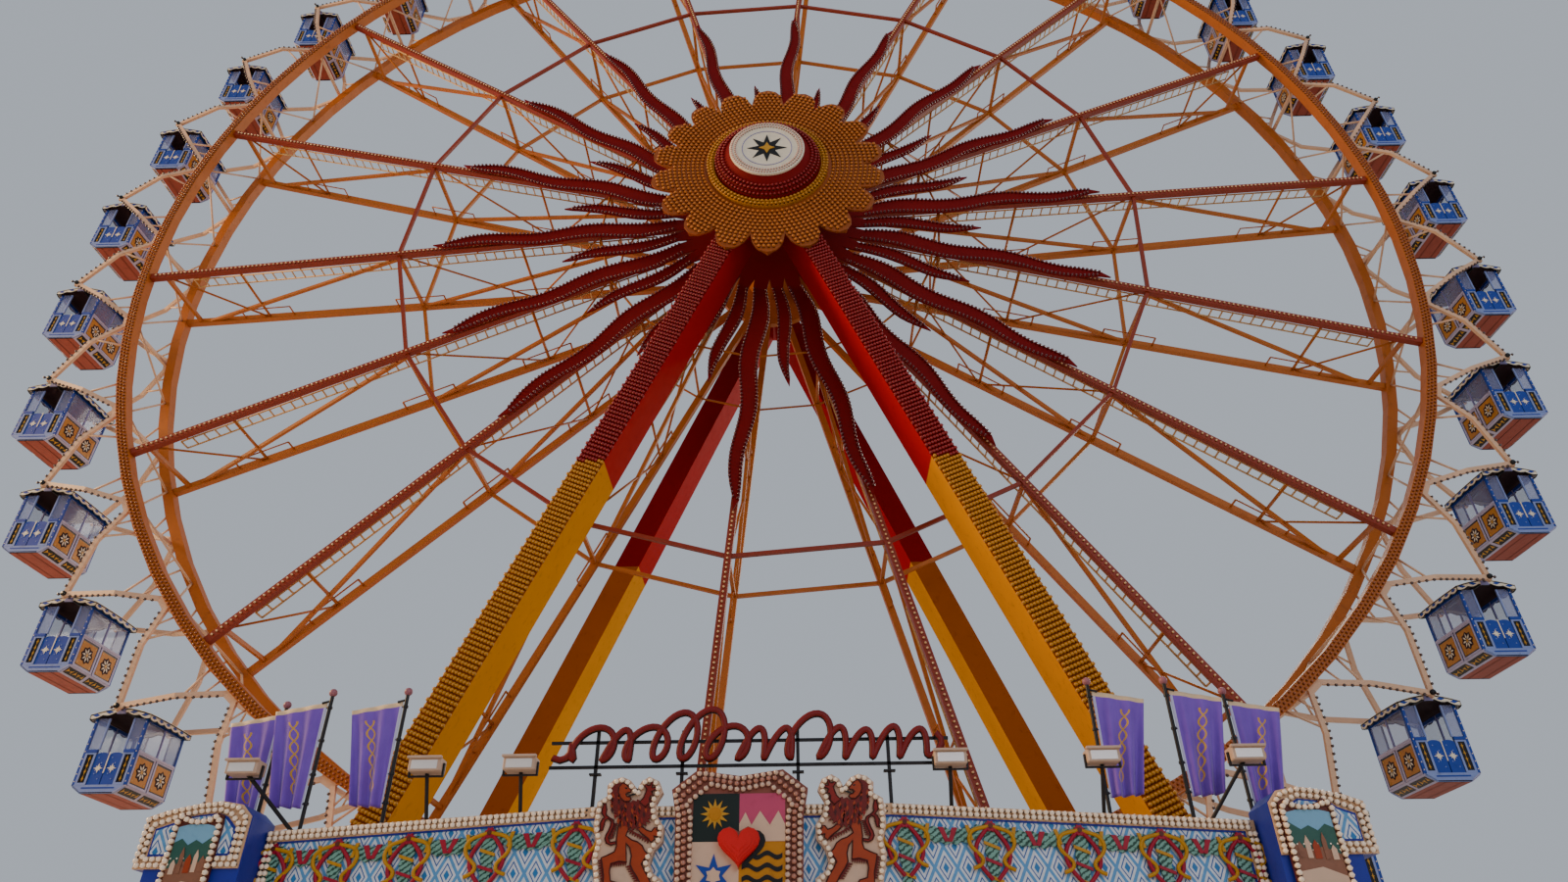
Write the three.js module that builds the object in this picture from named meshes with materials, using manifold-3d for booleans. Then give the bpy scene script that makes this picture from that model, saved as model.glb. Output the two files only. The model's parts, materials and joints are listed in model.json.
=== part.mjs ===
// Ferris wheel with 36 hanging cabins, modelled at half the real size.
// Millimetres, +Z up, the viewer stands at -Y. The origin is on the ground under the hub,
// on the middle plane of the wheel. Lengths are written as real metres times `metre`.
import * as THREE from 'three';
import { mergeVertices } from 'three/addons/utils/BufferGeometryUtils.js';
import Module from 'manifold-3d';

const wasm = await Module();
wasm.setup();

// Driving dimensions
const metre = 500;
const fit = 0.4;
const degree = Math.PI / 180;
const hubHeight = 26.2 * metre;
const ringOffset = 1.18 * metre;
const rimRadius = 21.04 * metre;
const rimRadial = 0.3 * metre;
const rimAxial = 0.35 * metre;
const rimSides = 72;
const pivotRadius = 23.32 * metre;
const spokeCount = 18;
const cabinCount = 36;
const firstSpoke = 4.72;

// Small helpers that every piece uses
const polar = (radius, angleDegrees, y) => new THREE.Vector3(
  radius * Math.cos(angleDegrees * degree),
  y,
  hubHeight + radius * Math.sin(angleDegrees * degree),
);

const signedVolume = (points, faces) => {
  let total = 0;
  const a = new THREE.Vector3();
  const b = new THREE.Vector3();
  const c = new THREE.Vector3();
  for (let i = 0; i < faces.length; i += 3) {
    a.fromArray(points, faces[i] * 3);
    b.fromArray(points, faces[i + 1] * 3);
    c.fromArray(points, faces[i + 2] * 3);
    total += a.dot(b.cross(c));
  }
  return total;
};

const solid = (geometry) => {
  const bare = geometry.clone();
  bare.deleteAttribute('normal');
  bare.deleteAttribute('uv');
  const merged = mergeVertices(bare, 0.01);
  const points = new Float32Array(merged.attributes.position.array);
  const faces = [];
  const index = merged.index.array;
  for (let i = 0; i < index.length; i += 3) {
    const [a, b, c] = [index[i], index[i + 1], index[i + 2]];
    if (a !== b && b !== c && c !== a) {
      faces.push(a, b, c);
    }
  }
  if (signedVolume(points, faces) < 0) {
    for (let i = 0; i < faces.length; i += 3) {
      [faces[i + 1], faces[i + 2]] = [faces[i + 2], faces[i + 1]];
    }
  }
  return new wasm.Manifold(new wasm.Mesh({
    numProp: 3,
    vertProperties: points,
    triVerts: new Uint32Array(faces),
  }));
};

const union = (...parts) => wasm.Manifold.union(parts.flat());

const block = (x0, x1, y0, y1, z0, z1) => {
  const geometry = new THREE.BoxGeometry(x1 - x0, y1 - y0, z1 - z0);
  geometry.translate((x0 + x1) / 2, (y0 + y1) / 2, (z0 + z1) / 2);
  return solid(geometry);
};

// A straight bar; `deep` is its size along Y, or along Z for a bar that itself runs along Y
const bar = (from, to, wide, deep) => {
  const along = to.clone().sub(from);
  const length = along.length();
  along.normalize();
  const hint = Math.abs(along.y) > 0.9 ? new THREE.Vector3(0, 0, 1) : new THREE.Vector3(0, 1, 0);
  const side = hint.clone().cross(along).normalize();
  const up = along.clone().cross(side).normalize();
  const geometry = new THREE.BoxGeometry(wide, deep, length);
  geometry.applyMatrix4(new THREE.Matrix4().makeBasis(side, up, along));
  geometry.translate((from.x + to.x) / 2, (from.y + to.y) / 2, (from.z + to.z) / 2);
  return solid(geometry);
};

const outline = (pairs) => new THREE.Shape(pairs.map(([x, z]) => new THREE.Vector2(x, z)));

// A flat piece cut from an outline in X and Z, standing upright from yFront back by `depth`
const upright = (shape, yFront, depth) => {
  const geometry = new THREE.ExtrudeGeometry(shape, { depth, bevelEnabled: false, curveSegments: 6 });
  geometry.rotateX(Math.PI / 2);
  geometry.translate(0, yFront + depth, 0);
  return solid(geometry);
};

// A piece cut from an outline in X and Y, standing from zLow up by `height`
const level = (shape, zLow, height) => {
  const geometry = new THREE.ExtrudeGeometry(shape, { depth: height, bevelEnabled: false });
  geometry.translate(0, 0, zLow);
  return solid(geometry);
};

// A turned piece about the wheel axis; profile pairs are radius and y
const turned = (profile, sides, firstAngle = 0) => {
  const points = profile.map(([radius, y]) => new THREE.Vector2(radius, y));
  const geometry = new THREE.LatheGeometry(points, sides, (90 - firstAngle) * degree);
  geometry.translate(0, 0, hubHeight);
  return solid(geometry);
};

const wheel = new THREE.Group();
wheel.name = 'ferris_wheel';

const piece = (name, body, colour, roughness, metalness) => {
  const made = body.getMesh();
  const geometry = new THREE.BufferGeometry();
  geometry.setAttribute('position', new THREE.BufferAttribute(new Float32Array(made.vertProperties), 3));
  geometry.setIndex(new THREE.BufferAttribute(new Uint32Array(made.triVerts), 1));
  const mesh = new THREE.Mesh(geometry, new THREE.MeshStandardMaterial({ color: colour, roughness, metalness }));
  mesh.name = name;
  wheel.add(mesh);
};

// The two rims; a flat of each faces every spoke and every arm foot
const rimInner = rimRadius - rimRadial / 2;
const rimOuter = rimRadius + rimRadial / 2;
const toCorner = 1 / Math.cos(Math.PI / rimSides);

const rim = (y) => turned([
  [rimInner * toCorner, y - rimAxial / 2],
  [rimOuter * toCorner, y - rimAxial / 2],
  [rimOuter * toCorner, y + rimAxial / 2],
  [rimInner * toCorner, y + rimAxial / 2],
  [rimInner * toCorner, y - rimAxial / 2],
], rimSides, firstSpoke + 180 / rimSides);

piece('front_rim', rim(-ringOffset), '#c8641a', 0.45, 0.3);
piece('rear_rim', rim(ringOffset), '#c8641a', 0.45, 0.3);

// Spokes: a front and a rear chord each, with hub flanges, tie bars, posts and diagonals
const axleRadius = 0.4 * metre;
const chordWide = 0.2 * metre;
const chordDeep = 0.2 * metre;
const braceSize = 0.11 * metre;
const hubChordOffset = 1.5 * metre;
const chordStart = 1.6 * metre;
const chordEnd = rimInner - 1.2;
const flangeRadius = 2.1 * metre;
const flangeBore = axleRadius / Math.cos(10 * degree) + 0.5;
const tieRadii = [12.6 * metre];
const postRadii = [12.6 * metre, 20.4 * metre];

const chordY = (radius) => {
  const share = (radius - chordStart) / (chordEnd - chordStart);
  return hubChordOffset + (ringOffset - hubChordOffset) * share;
};

const spokeAngles = Array.from({ length: spokeCount }, (_, k) => firstSpoke + (360 / spokeCount) * k);

const flange = (y0, y1) => turned([
  [flangeBore, y0],
  [flangeRadius, y0],
  [flangeRadius, y1],
  [flangeBore, y1],
  [flangeBore, y0],
], 18, firstSpoke);

const chords = (side) => spokeAngles.map((angle) => bar(
  polar(chordStart, angle, side * chordY(chordStart)),
  polar(chordEnd, angle, side * chordY(chordEnd)),
  chordWide,
  chordDeep,
));

const ties = (side) => tieRadii.flatMap((radius) => spokeAngles.map((angle) => bar(
  polar(radius, angle, side * chordY(radius)),
  polar(radius, angle + 360 / spokeCount, side * chordY(radius)),
  braceSize,
  braceSize,
)));

const flangeHalf = chordDeep / 2;
piece('front_spokes', union(
  flange(-hubChordOffset - flangeHalf, -hubChordOffset + flangeHalf),
  chords(-1),
  ties(-1),
), '#b04a1c', 0.45, 0.3);

const innerFace = (radius) => chordY(radius) - chordDeep / 2;
const posts = spokeAngles.flatMap((angle) => postRadii.map((radius) => bar(
  polar(radius, angle, -innerFace(radius) + 1.5),
  polar(radius, angle, chordY(radius)),
  braceSize,
  braceSize,
)));
const diagonals = spokeAngles.flatMap((angle) => [
  [2.3 * metre, 12.6 * metre],
  [12.6 * metre, 20.2 * metre],
].map(([frontRadius, rearRadius]) => bar(
  polar(frontRadius, angle, -innerFace(frontRadius) + braceSize / 2 + 2),
  polar(rearRadius, angle, chordY(rearRadius)),
  braceSize,
  braceSize,
)));
const drumOuter = 0.95 * metre;
const drumFront = -hubChordOffset + flangeHalf + fit;
const drum = turned([
  [flangeBore, drumFront],
  [drumOuter, drumFront],
  [drumOuter, hubChordOffset],
  [flangeBore, hubChordOffset],
  [flangeBore, drumFront],
], 18, firstSpoke);
piece('rear_spokes', union(
  flange(hubChordOffset - flangeHalf, hubChordOffset + flangeHalf),
  drum,
  chords(1),
  ties(1),
  posts,
  diagonals,
), '#b04a1c', 0.45, 0.3);

// Cabin arms: two feet on every rim node, bowed away from the wheel, and a plate at every pivot
const armWide = 0.13 * metre;
const armDeep = 0.1 * metre;
const pitch = 360 / cabinCount;
const nodeHigh = 0.18 * metre;
const nodeTurn = 0.62;
const footTurn = 0.5;
const nodeRadius = (rimOuter + fit + nodeHigh / 2) / Math.cos(nodeTurn * degree);
const elbow = { share: 0.42, bow: 0.26 * metre };
const pivotPlate = 0.09 * metre;

// A bar of one section that follows three points in a shallow bend
const bentBar = (points, wide, deep) => {
  const corners = [];
  const before = points[1].clone().sub(points[0]).normalize();
  const after = points[2].clone().sub(points[1]).normalize();
  [before, before.clone().add(after).normalize(), after].forEach((along, n) => {
    const side = new THREE.Vector3(0, 1, 0).cross(along).normalize();
    const up = along.clone().cross(side).normalize();
    [[-1, -1], [1, -1], [1, 1], [-1, 1]].forEach(([a, b]) => {
      const corner = points[n].clone();
      corner.addScaledVector(side, (a * wide) / 2).addScaledVector(up, (b * deep) / 2);
      corners.push(corner.x, corner.y, corner.z);
    });
  });
  const faces = [0, 2, 1, 0, 3, 2, 8, 9, 10, 8, 10, 11];
  for (let n = 0; n < 2; n += 1) {
    for (let c = 0; c < 4; c += 1) {
      const here = n * 4 + c;
      const next = n * 4 + ((c + 1) % 4);
      faces.push(here, next, next + 4, here, next + 4, here + 4);
    }
  }
  const geometry = new THREE.BufferGeometry();
  geometry.setAttribute('position', new THREE.BufferAttribute(new Float32Array(corners), 3));
  geometry.setIndex(faces);
  return solid(geometry);
};

const armSet = (side) => {
  const parts = [];
  for (let k = 0; k < cabinCount; k += 1) {
    const centre = firstSpoke + pitch * k;
    const node = centre + pitch / 2;
    parts.push(bar(
      polar(nodeRadius, node - nodeTurn, side * ringOffset),
      polar(nodeRadius, node + nodeTurn, side * ringOffset),
      nodeHigh,
      armDeep,
    ));
    parts.push(bar(
      polar(pivotRadius - pivotPlate, centre, side * ringOffset),
      polar(pivotRadius + pivotPlate, centre, side * ringOffset),
      2 * pivotPlate,
      armDeep,
    ));
    [-1, 1].forEach((hand) => {
      const foot = polar(nodeRadius, centre + hand * (pitch / 2 - footTurn), side * ringOffset);
      const end = polar(pivotRadius, centre, side * ringOffset);
      const bend = foot.clone().lerp(end, elbow.share);
      bend.y += side * elbow.bow;
      parts.push(bentBar([foot, bend, end], armWide, armDeep));
    });
  }
  return parts;
};

const footAngles = Array.from({ length: cabinCount }, (_, k) => firstSpoke + pitch * (k + 0.5));
const beamRadius = rimOuter + fit + 0.12 * metre;
const crossBeams = footAngles.map((angle) => bar(
  polar(beamRadius, angle, -ringOffset + armDeep / 2 + fit),
  polar(beamRadius, angle, ringOffset),
  0.1 * metre,
  0.1 * metre,
));
piece('front_cabin_arms', union(armSet(-1)), '#e8d8c0', 0.5, 0.1);
piece('rear_cabin_arms', union(armSet(1), crossBeams), '#e8d8c0', 0.5, 0.1);

// Flames: long ones over the spokes and short ones between, cut from one plate
const flameRoot = 2.75 * metre;
const flameThick = 0.06 * metre;
const flameFront = -hubChordOffset - flangeHalf - fit - flameThick;
const flamePlate = () => {
  const points = [];
  const place = (angle, radius, sideways) => new THREE.Vector2(
    radius * Math.cos(angle * degree) - sideways * Math.sin(angle * degree),
    hubHeight + radius * Math.sin(angle * degree) + sideways * Math.cos(angle * degree),
  );
  for (let k = 0; k < spokeCount * 2; k += 1) {
    const angle = firstSpoke + 10 * k;
    const long = k % 2 === 0;
    const stations = long ? [3.4, 4.6, 5.8, 7.0, 8.2, 9.4, 10.4] : [3.6, 4.8, 6.0];
    const tip = long ? 11.35 : 7.1;
    const widest = long ? 0.32 : 0.25;
    const edge = (radius, side) => {
      const slim = widest * (1 - 0.5 * ((radius - 3.4) / (tip - 3.4)) ** 1.5);
      const wave = 0.09 * Math.sin((2 * Math.PI * (radius - 3.4)) / 3.6);
      return place(angle, radius * metre, (side * slim + wave) * metre);
    };
    points.push(place(angle - 5, flameRoot, 0));
    stations.forEach((radius) => points.push(edge(radius, -1)));
    points.push(place(angle, tip * metre, 0));
    for (let n = stations.length - 1; n >= 0; n -= 1) {
      points.push(edge(stations[n], 1));
    }
  }
  const shape = new THREE.Shape(points);
  const bore = [];
  for (let k = 0; k < 24; k += 1) {
    bore.push(place(15 * k, 1.2 * metre, 0));
  }
  shape.holes.push(new THREE.Path(bore));
  return shape;
};
piece('flames', upright(flamePlate(), flameFront, flameThick), '#6d0f12', 0.5, 0.1);

// Cabin: floor, half-height walls, corner posts, low gable roof and the shaft it hangs from
const cabinWide = 1.36 * metre;
const cabinDeep = 1.74 * metre;
const cabinWall = 0.06 * metre;
const cabinLow = -2.06 * metre;
const cabinSlope = { inset: 0.27 * metre, height: 0.19 * metre };
const sillHeight = -1.04 * metre;
const eaveHeight = -0.2 * metre;
const roofOver = 0.1 * metre;
const roofEdge = -0.12 * metre;
const roofShoulder = { across: 0.4 * metre, height: -0.03 * metre };
const roofTop = 0.05 * metre;

const cabinBody = (() => {
  const x = cabinWide / 2;
  const y = cabinDeep / 2;
  const floorTop = cabinLow + cabinSlope.height;
  const shell = upright(outline([
    [-x + cabinSlope.inset, cabinLow],
    [x - cabinSlope.inset, cabinLow],
    [x, floorTop],
    [x, eaveHeight + 1],
    [-x, eaveHeight + 1],
    [-x, floorTop],
  ]), -y, cabinDeep);
  const innerX = x - cabinWall;
  const innerY = y - cabinWall;
  const room = block(-innerX, innerX, -innerY, innerY, floorTop, eaveHeight + 2);
  const windowsAcross = block(-x - 1, x + 1, -innerY, innerY, sillHeight, eaveHeight + 2);
  const windowsAlong = block(-innerX, innerX, -y - 1, y + 1, sillHeight, eaveHeight + 2);
  const walls = shell.subtract(union(room, windowsAcross, windowsAlong));
  const roof = upright(outline([
    [-x - roofOver, eaveHeight],
    [x + roofOver, eaveHeight],
    [x + roofOver, roofEdge],
    [roofShoulder.across, roofShoulder.height],
    [0, roofTop],
    [-roofShoulder.across, roofShoulder.height],
    [-x - roofOver, roofEdge],
  ]), -y - roofOver, cabinDeep + 2 * roofOver);
  const shaftEnd = ringOffset - armDeep / 2 - 0.5;
  const shaftHalf = 0.05 * metre;
  const shaft = block(-shaftHalf, shaftHalf, -shaftEnd, shaftEnd, -shaftHalf, shaftHalf);
  return union(walls, roof, shaft);
})();

for (let k = 0; k < cabinCount; k += 1) {
  const pivot = polar(pivotRadius, firstSpoke + pitch * k, 0);
  const name = `cabin_${String(k + 1).padStart(2, '0')}`;
  piece(name, cabinBody.translate([pivot.x, pivot.y, pivot.z]), '#2a5ca8', 0.5, 0.1);
}

// Axle with the two heads that the legs carry
const headOffset = 2.95 * metre;
const legDeep = 1.45 * metre;
const headDrop = 0.95 * metre;
const headLip = 0.07 * metre;
const axle = turned([
  [0, -headOffset],
  [axleRadius, -headOffset],
  [axleRadius, headOffset],
  [0, headOffset],
], 16);
const head = (side) => block(
  -0.9 * metre,
  0.9 * metre,
  side * headOffset - legDeep / 2 - (side < 0 ? headLip : 0),
  side * headOffset + legDeep / 2 + (side > 0 ? headLip : 0),
  hubHeight - headDrop,
  hubHeight + 0.7 * metre,
);
piece('axle_and_heads', union(axle, head(-1), head(1)), '#c8141a', 0.45, 0.3);

// Legs: box sections that spread sideways and lean a little apart towards the ground
const legWide = 0.75 * metre;
const legSpread = 0.418;
const legTopEdge = 0.4 * metre;
const footTop = 0.35 * metre;
const footOffset = 3.3 * metre;
const legOuter = (z) => legTopEdge + legSpread * (hubHeight - z);
const leg = (sideX, sideY) => {
  const zTop = hubHeight - headDrop - fit;
  const zLow = footTop + fit;
  const shape = outline([
    [sideX * (legOuter(zLow) - legWide), zLow],
    [sideX * legOuter(zLow), zLow],
    [sideX * legOuter(zTop), zTop],
    [sideX * (legOuter(zTop) - legWide), zTop],
  ]);
  const geometry = new THREE.ExtrudeGeometry(shape, { depth: legDeep, bevelEnabled: false });
  geometry.rotateX(Math.PI / 2);
  geometry.translate(0, legDeep / 2, 0);
  const lean = (headOffset - footOffset) / (zTop - zLow);
  const offset = footOffset - lean * zLow;
  geometry.applyMatrix4(new THREE.Matrix4().set(
    1, 0, 0, 0,
    0, 1, sideY * lean, sideY * offset,
    0, 0, 1, 0,
    0, 0, 0, 1,
  ));
  return solid(geometry);
};
piece('front_leg_left', leg(-1, -1), '#c8141a', 0.45, 0.2);
piece('front_leg_right', leg(1, -1), '#c8141a', 0.45, 0.2);
piece('rear_leg_left', leg(-1, 1), '#c8141a', 0.45, 0.2);
piece('rear_leg_right', leg(1, 1), '#c8141a', 0.45, 0.2);

// Sun on the front head: a disc with 18 petals, then a stepped boss with a plain round face
const sunBack = -headOffset - legDeep / 2 - headLip - fit;
const sunThick = 0.15 * metre;
const petals = [];
for (let k = 0; k < 18; k += 1) {
  [[-10, 2.85], [-7.4, 3.24], [-4, 3.55], [0, 3.75], [4, 3.55], [7.4, 3.24]].forEach(([turn, radius]) => {
    const angle = (90 + 20 * k + turn) * degree;
    petals.push([radius * metre * Math.cos(angle), hubHeight + radius * metre * Math.sin(angle)]);
  });
}
piece('sun_disc', upright(outline(petals), sunBack - sunThick, sunThick), '#b8650e', 0.45, 0.2);

const bossBack = sunBack - sunThick - fit;
piece('sun_boss', turned([
  [0, bossBack],
  [1.95 * metre, bossBack],
  [1.95 * metre, bossBack - 0.14 * metre],
  [1.72 * metre, bossBack - 0.14 * metre],
  [1.62 * metre, bossBack - 0.34 * metre],
  [1.4 * metre, bossBack - 0.34 * metre],
  [1.28 * metre, bossBack - 0.55 * metre],
  [0, bossBack - 0.55 * metre],
], 30), '#e0b020', 0.35, 0.2);

// Ground frame with foot plates, boarding platform and front steps
const deckTop = 0.75 * metre;
const deckLow = 0.63 * metre;
const deckFront = -7.6 * metre + fit;
const deckRear = -1.7 * metre;
const deckHalf = 9 * metre;
const skirt = 0.08 * metre;
const soles = [-1, 1].map((side) => block(
  -12 * metre,
  12 * metre,
  side * footOffset - 0.3 * metre,
  side * footOffset + 0.3 * metre,
  0,
  footTop,
));
const crossSoles = [-11.4, 0, 11.4].map((x) => block(
  (x - 0.25) * metre,
  (x + 0.25) * metre,
  -footOffset,
  footOffset,
  0,
  footTop,
));
const footPlates = [-1, 1].flatMap((sideX) => [-1, 1].map((sideY) => block(
  sideX * 10.95 * metre - 0.7 * metre,
  sideX * 10.95 * metre + 0.7 * metre,
  sideY * footOffset - 0.85 * metre,
  sideY * footOffset + 0.85 * metre,
  0,
  footTop,
)));
const deckBlock = block(-deckHalf, deckHalf, deckFront, deckRear, 0, deckTop);
const deckHollow = union(
  block(-deckHalf + skirt, deckHalf - skirt, deckFront + skirt, deckRear - skirt, -1, deckLow),
  block(-deckHalf + 1 * metre, deckHalf - 1 * metre, deckRear - 1 * metre, deckRear + 1, -1, deckLow),
);
const step = (n) => block(
  -2.2 * metre,
  2.2 * metre,
  deckFront - 0.35 * metre * n,
  deckFront + 1,
  0,
  deckTop * (4 - n) / 4,
);
piece('ground_frame', union(
  soles,
  crossSoles,
  footPlates,
  deckBlock.subtract(deckHollow),
  step(1),
  step(2),
  step(3),
), '#8a5a2a', 0.7, 0.1);

// Fascia over the entrance: a shallow bow in plan on four posts, its top rising to the middle, with six lamp arms
const fasciaLow = 3.3;
const fasciaPeak = 5.55;
const fasciaSlope = 0.045;
const fasciaThick = 0.16 * metre;
const towerInner = 8.3 * metre;
const fasciaEnd = towerInner - fit;
const boardShift = -0.28;
const bowHalf = 2.5;
const bow = [
  [-fasciaEnd, -7.95 * metre],
  [(boardShift - bowHalf) * metre, -8.3 * metre],
  [(boardShift + bowHalf) * metre, -8.3 * metre],
  [fasciaEnd, -7.95 * metre],
];
const fasciaTopAt = (x) => fasciaPeak - fasciaSlope * Math.max(0, Math.abs(x - boardShift) - bowHalf);
const fasciaFace = outline([
  [-8.5, fasciaLow],
  [8.5, fasciaLow],
  [8.5, fasciaTopAt(8.5)],
  [boardShift + bowHalf, fasciaPeak],
  [boardShift - bowHalf, fasciaPeak],
  [-8.5, fasciaTopAt(-8.5)],
].map(([x, z]) => [x * metre, z * metre]));
const bowRear = bow.map(([x, y]) => [x, y + fasciaThick]).reverse();
const fasciaPosts = [-8.19, -3.05, 2.75, 8.19].map((x) => block(
  (x - 0.09) * metre,
  (x + 0.09) * metre,
  -7.76 * metre,
  -7.6 * metre,
  0,
  4.6 * metre - fit,
));
const braceRail = block(-8.2 * metre, 8.2 * metre, -8.1 * metre, -7.7 * metre, 4.45 * metre, 4.55 * metre);
const lampPlaces = [
  [-7.85, -8.7, -7.9],
  [-5.6, -5.6, -8.06],
  [-4, -4, -8.14],
  [3.25, 3.25, -8.14],
  [5.8, 5.8, -8.02],
  [7.55, 8.2, -7.92],
];
const lamps = lampPlaces.flatMap(([low, x, yLow]) => [
  bar(
    new THREE.Vector3(low * metre, yLow * metre, (fasciaTopAt(low) - 0.1) * metre),
    new THREE.Vector3(x * metre, -8.5 * metre, 6.17 * metre),
    0.06 * metre,
    0.06 * metre,
  ),
  block((x - 0.24) * metre, (x + 0.24) * metre, -8.66 * metre, -8.38 * metre, 6.13 * metre, 6.31 * metre),
]);
piece('fascia', union(
  level(outline([...bow, ...bowRear]), (fasciaLow - 1) * metre, 4 * metre)
    .intersect(upright(fasciaFace, -9 * metre, 2 * metre)),
  fasciaPosts,
  braceRail,
  lamps,
), '#4a98d0', 0.45, 0.1);

// Crest board with a raised heart, and a lion board on each side of it
const crestFront = -8.56 * metre;
const crestBack = -8.3 * metre - fit;
const crestShape = outline([
  [-0.72, 3.35], [0.72, 3.35], [1.02, 3.9], [1.05, 5.36], [1.13, 5.76], [0.72, 6.07],
  [0, 5.97], [-0.72, 6.07], [-1.13, 5.76], [-1.05, 5.36], [-1.02, 3.9],
].map(([x, z]) => [(x + boardShift) * metre, z * metre]));
const heart = outline([
  [0, 4.6], [0.21, 4.78], [0.3, 4.94], [0.28, 5.08], [0.15, 5.14], [0, 5.06],
  [-0.15, 5.14], [-0.28, 5.08], [-0.3, 4.94], [-0.21, 4.78],
].map(([x, z]) => [(x + boardShift) * metre, z * metre]));
piece('crest', union(
  upright(crestShape, crestFront, crestBack - crestFront),
  upright(heart, crestFront - 0.14 * metre, 0.2 * metre),
), '#e8d8c0', 0.4, 0.1);

const lionBoard = (side) => {
  const shape = outline([
    [1.3, 3.42], [2.3, 3.42], [2.3, 4.3], [2.38, 4.73], [2.33, 4.95], [2.4, 5.2], [2.37, 5.6],
    [2.22, 5.69], [2.23, 5.86], [2.12, 5.96], [1.98, 6], [1.84, 5.94], [1.72, 5.8], [1.66, 5.92],
    [1.53, 6], [1.36, 5.92], [1.29, 5.75], [1.4, 5.56], [1.36, 5.36], [1.24, 5.19], [1.25, 4.97],
    [1.38, 4.83], [1.44, 4.63], [1.39, 4.5], [1.22, 4.38], [1.22, 3.9],
  ].map(([x, z]) => [(side * x + boardShift) * metre, z * metre]));
  return upright(shape, crestFront + 0.08 * metre, crestBack - crestFront - 0.08 * metre);
};
piece('lion_board_left', lionBoard(-1), '#e8d8c0', 0.4, 0.1);
piece('lion_board_right', lionBoard(1), '#e8d8c0', 0.4, 0.1);

// Side towers: arched boards over hollow booths, open at the back
const tower = (side, outer, hoodOuter) => {
  const wall = 0.09 * metre;
  const hoodLow = 4.62 * metre;
  const roomTop = 5.15 * metre;
  const yFront = -8.6 * metre;
  const yBack = -7.82 * metre;
  const x0 = towerInner;
  const x1 = outer * metre;
  const x2 = hoodOuter * metre;
  const across = (share) => x0 + (x2 - x0) * share;
  const mirrored = (pairs) => outline(pairs.map(([x, z]) => [side * x, z]));
  const body = mirrored([[x0, 0], [x1, 0], [x1, hoodLow + wall], [x0, hoodLow + wall]]);
  const hood = mirrored([
    [x0, hoodLow],
    [x2, hoodLow],
    [x2, 5.42 * metre],
    [across(0.66), 5.58 * metre],
    [across(0.32), 5.66 * metre],
    [across(0.12), 5.6 * metre],
    [x0, 5.42 * metre],
  ]);
  const room = mirrored([[x0 + wall, wall], [x1 - wall, wall], [x1 - wall, roomTop], [x0 + wall, roomTop]]);
  const shell = union(upright(body, yFront, yBack - yFront), upright(hood, yFront, yBack - yFront));
  return shell.subtract(upright(room, yFront + wall, yBack - yFront));
};
piece('tower_left', tower(-1, 9.85, 10.03), '#1c2c9c', 0.45, 0.1);
piece('tower_right', tower(1, 9.6, 9.85), '#1c2c9c', 0.45, 0.1);

// Sign frame: two rails on posts, with a plain running scroll between them
const signFront = -8.22 * metre;
const signLeft = -3.6;
const signRight = 3.3;
const railHalf = 0.025 * metre;
const rails = [6.24, 6.66].map((z) => block(
  signLeft * metre,
  signRight * metre,
  signFront,
  signFront + 2 * railHalf,
  z * metre - railHalf,
  z * metre + railHalf,
));
const signPosts = [-2.79, -1.3, 0.69, 2.25].map((x) => block(
  (x - 0.03) * metre,
  (x + 0.03) * metre,
  signFront,
  signFront + 2 * railHalf,
  fasciaPeak * metre + fit,
  6.85 * metre,
));
const scrollTops = [6.9, 6.85, 6.9, 7.15, 7.2, 6.9, 6.85, 6.85, 7.1, 6.85, 6.8, 6.85, 6.8];
const scrollFoot = 6.3;
const scrollHalf = 0.11;
const scrollStep = (signRight - signLeft) / (2 * scrollTops.length);
const scrollPath = scrollTops.flatMap((top, n) => [
  [signLeft + scrollStep * 2 * n, scrollFoot],
  [signLeft + scrollStep * (2 * n + 1.4), top],
]);
const scrollEdge = (shift) => scrollPath.map(([x, z]) => [x * metre, (z + shift) * metre]);
const scrollShape = outline([...scrollEdge(-scrollHalf), ...scrollEdge(scrollHalf).reverse()]);
piece('scroll_sign', union(
  rails,
  signPosts,
  upright(scrollShape, signFront - 0.1 * metre, 0.13 * metre),
), '#a01a14', 0.4, 0.1);

// Flags: two slim poles a side on a low rail, a third further back on a high one, each with one hanging flag
const flagSet = (side, poles) => {
  const parts = [];
  const pole = 0.07 * metre;
  const railFront = -7.79 * metre;
  const railBack = -7.71 * metre;
  const lowRail = 4.6 * metre;
  const highRail = 5.1 * metre;
  const railHigh = 0.1 * metre;
  const xs = poles.map(([x]) => side * x * metre);
  poles.forEach(([x, y], n) => {
    const px = side * x * metre;
    const py = y * metre;
    const foot = n === 2 ? highRail : lowRail;
    parts.push(block(px - pole / 2, px + pole / 2, py - pole / 2, py + pole / 2, foot, 7.7 * metre));
    const cloth = outline([
      [px, 7.6 * metre],
      [px + side * 0.98 * metre, 7.44 * metre],
      [px + side * 0.62 * metre, 5.76 * metre],
      [px, 5.72 * metre],
    ]);
    parts.push(upright(cloth, py - 0.015 * metre, 0.03 * metre));
  });
  const rail = (from, to, z) => block(Math.min(from, to), Math.max(from, to), railFront, railBack, z, z + railHigh);
  parts.push(rail(xs[0], xs[1], lowRail));
  parts.push(rail(xs[1], xs[2], highRail));
  parts.push(block(xs[2] - pole / 2, xs[2] + pole / 2, railFront, poles[2][1] * metre, highRail, highRail + railHigh));
  return union(parts);
};
piece('flags_left', flagSet(-1, [[6.5, -7.75], [7.9, -7.75], [9.05, -7.1]]), '#6a35b8', 0.8, 0);
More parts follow.
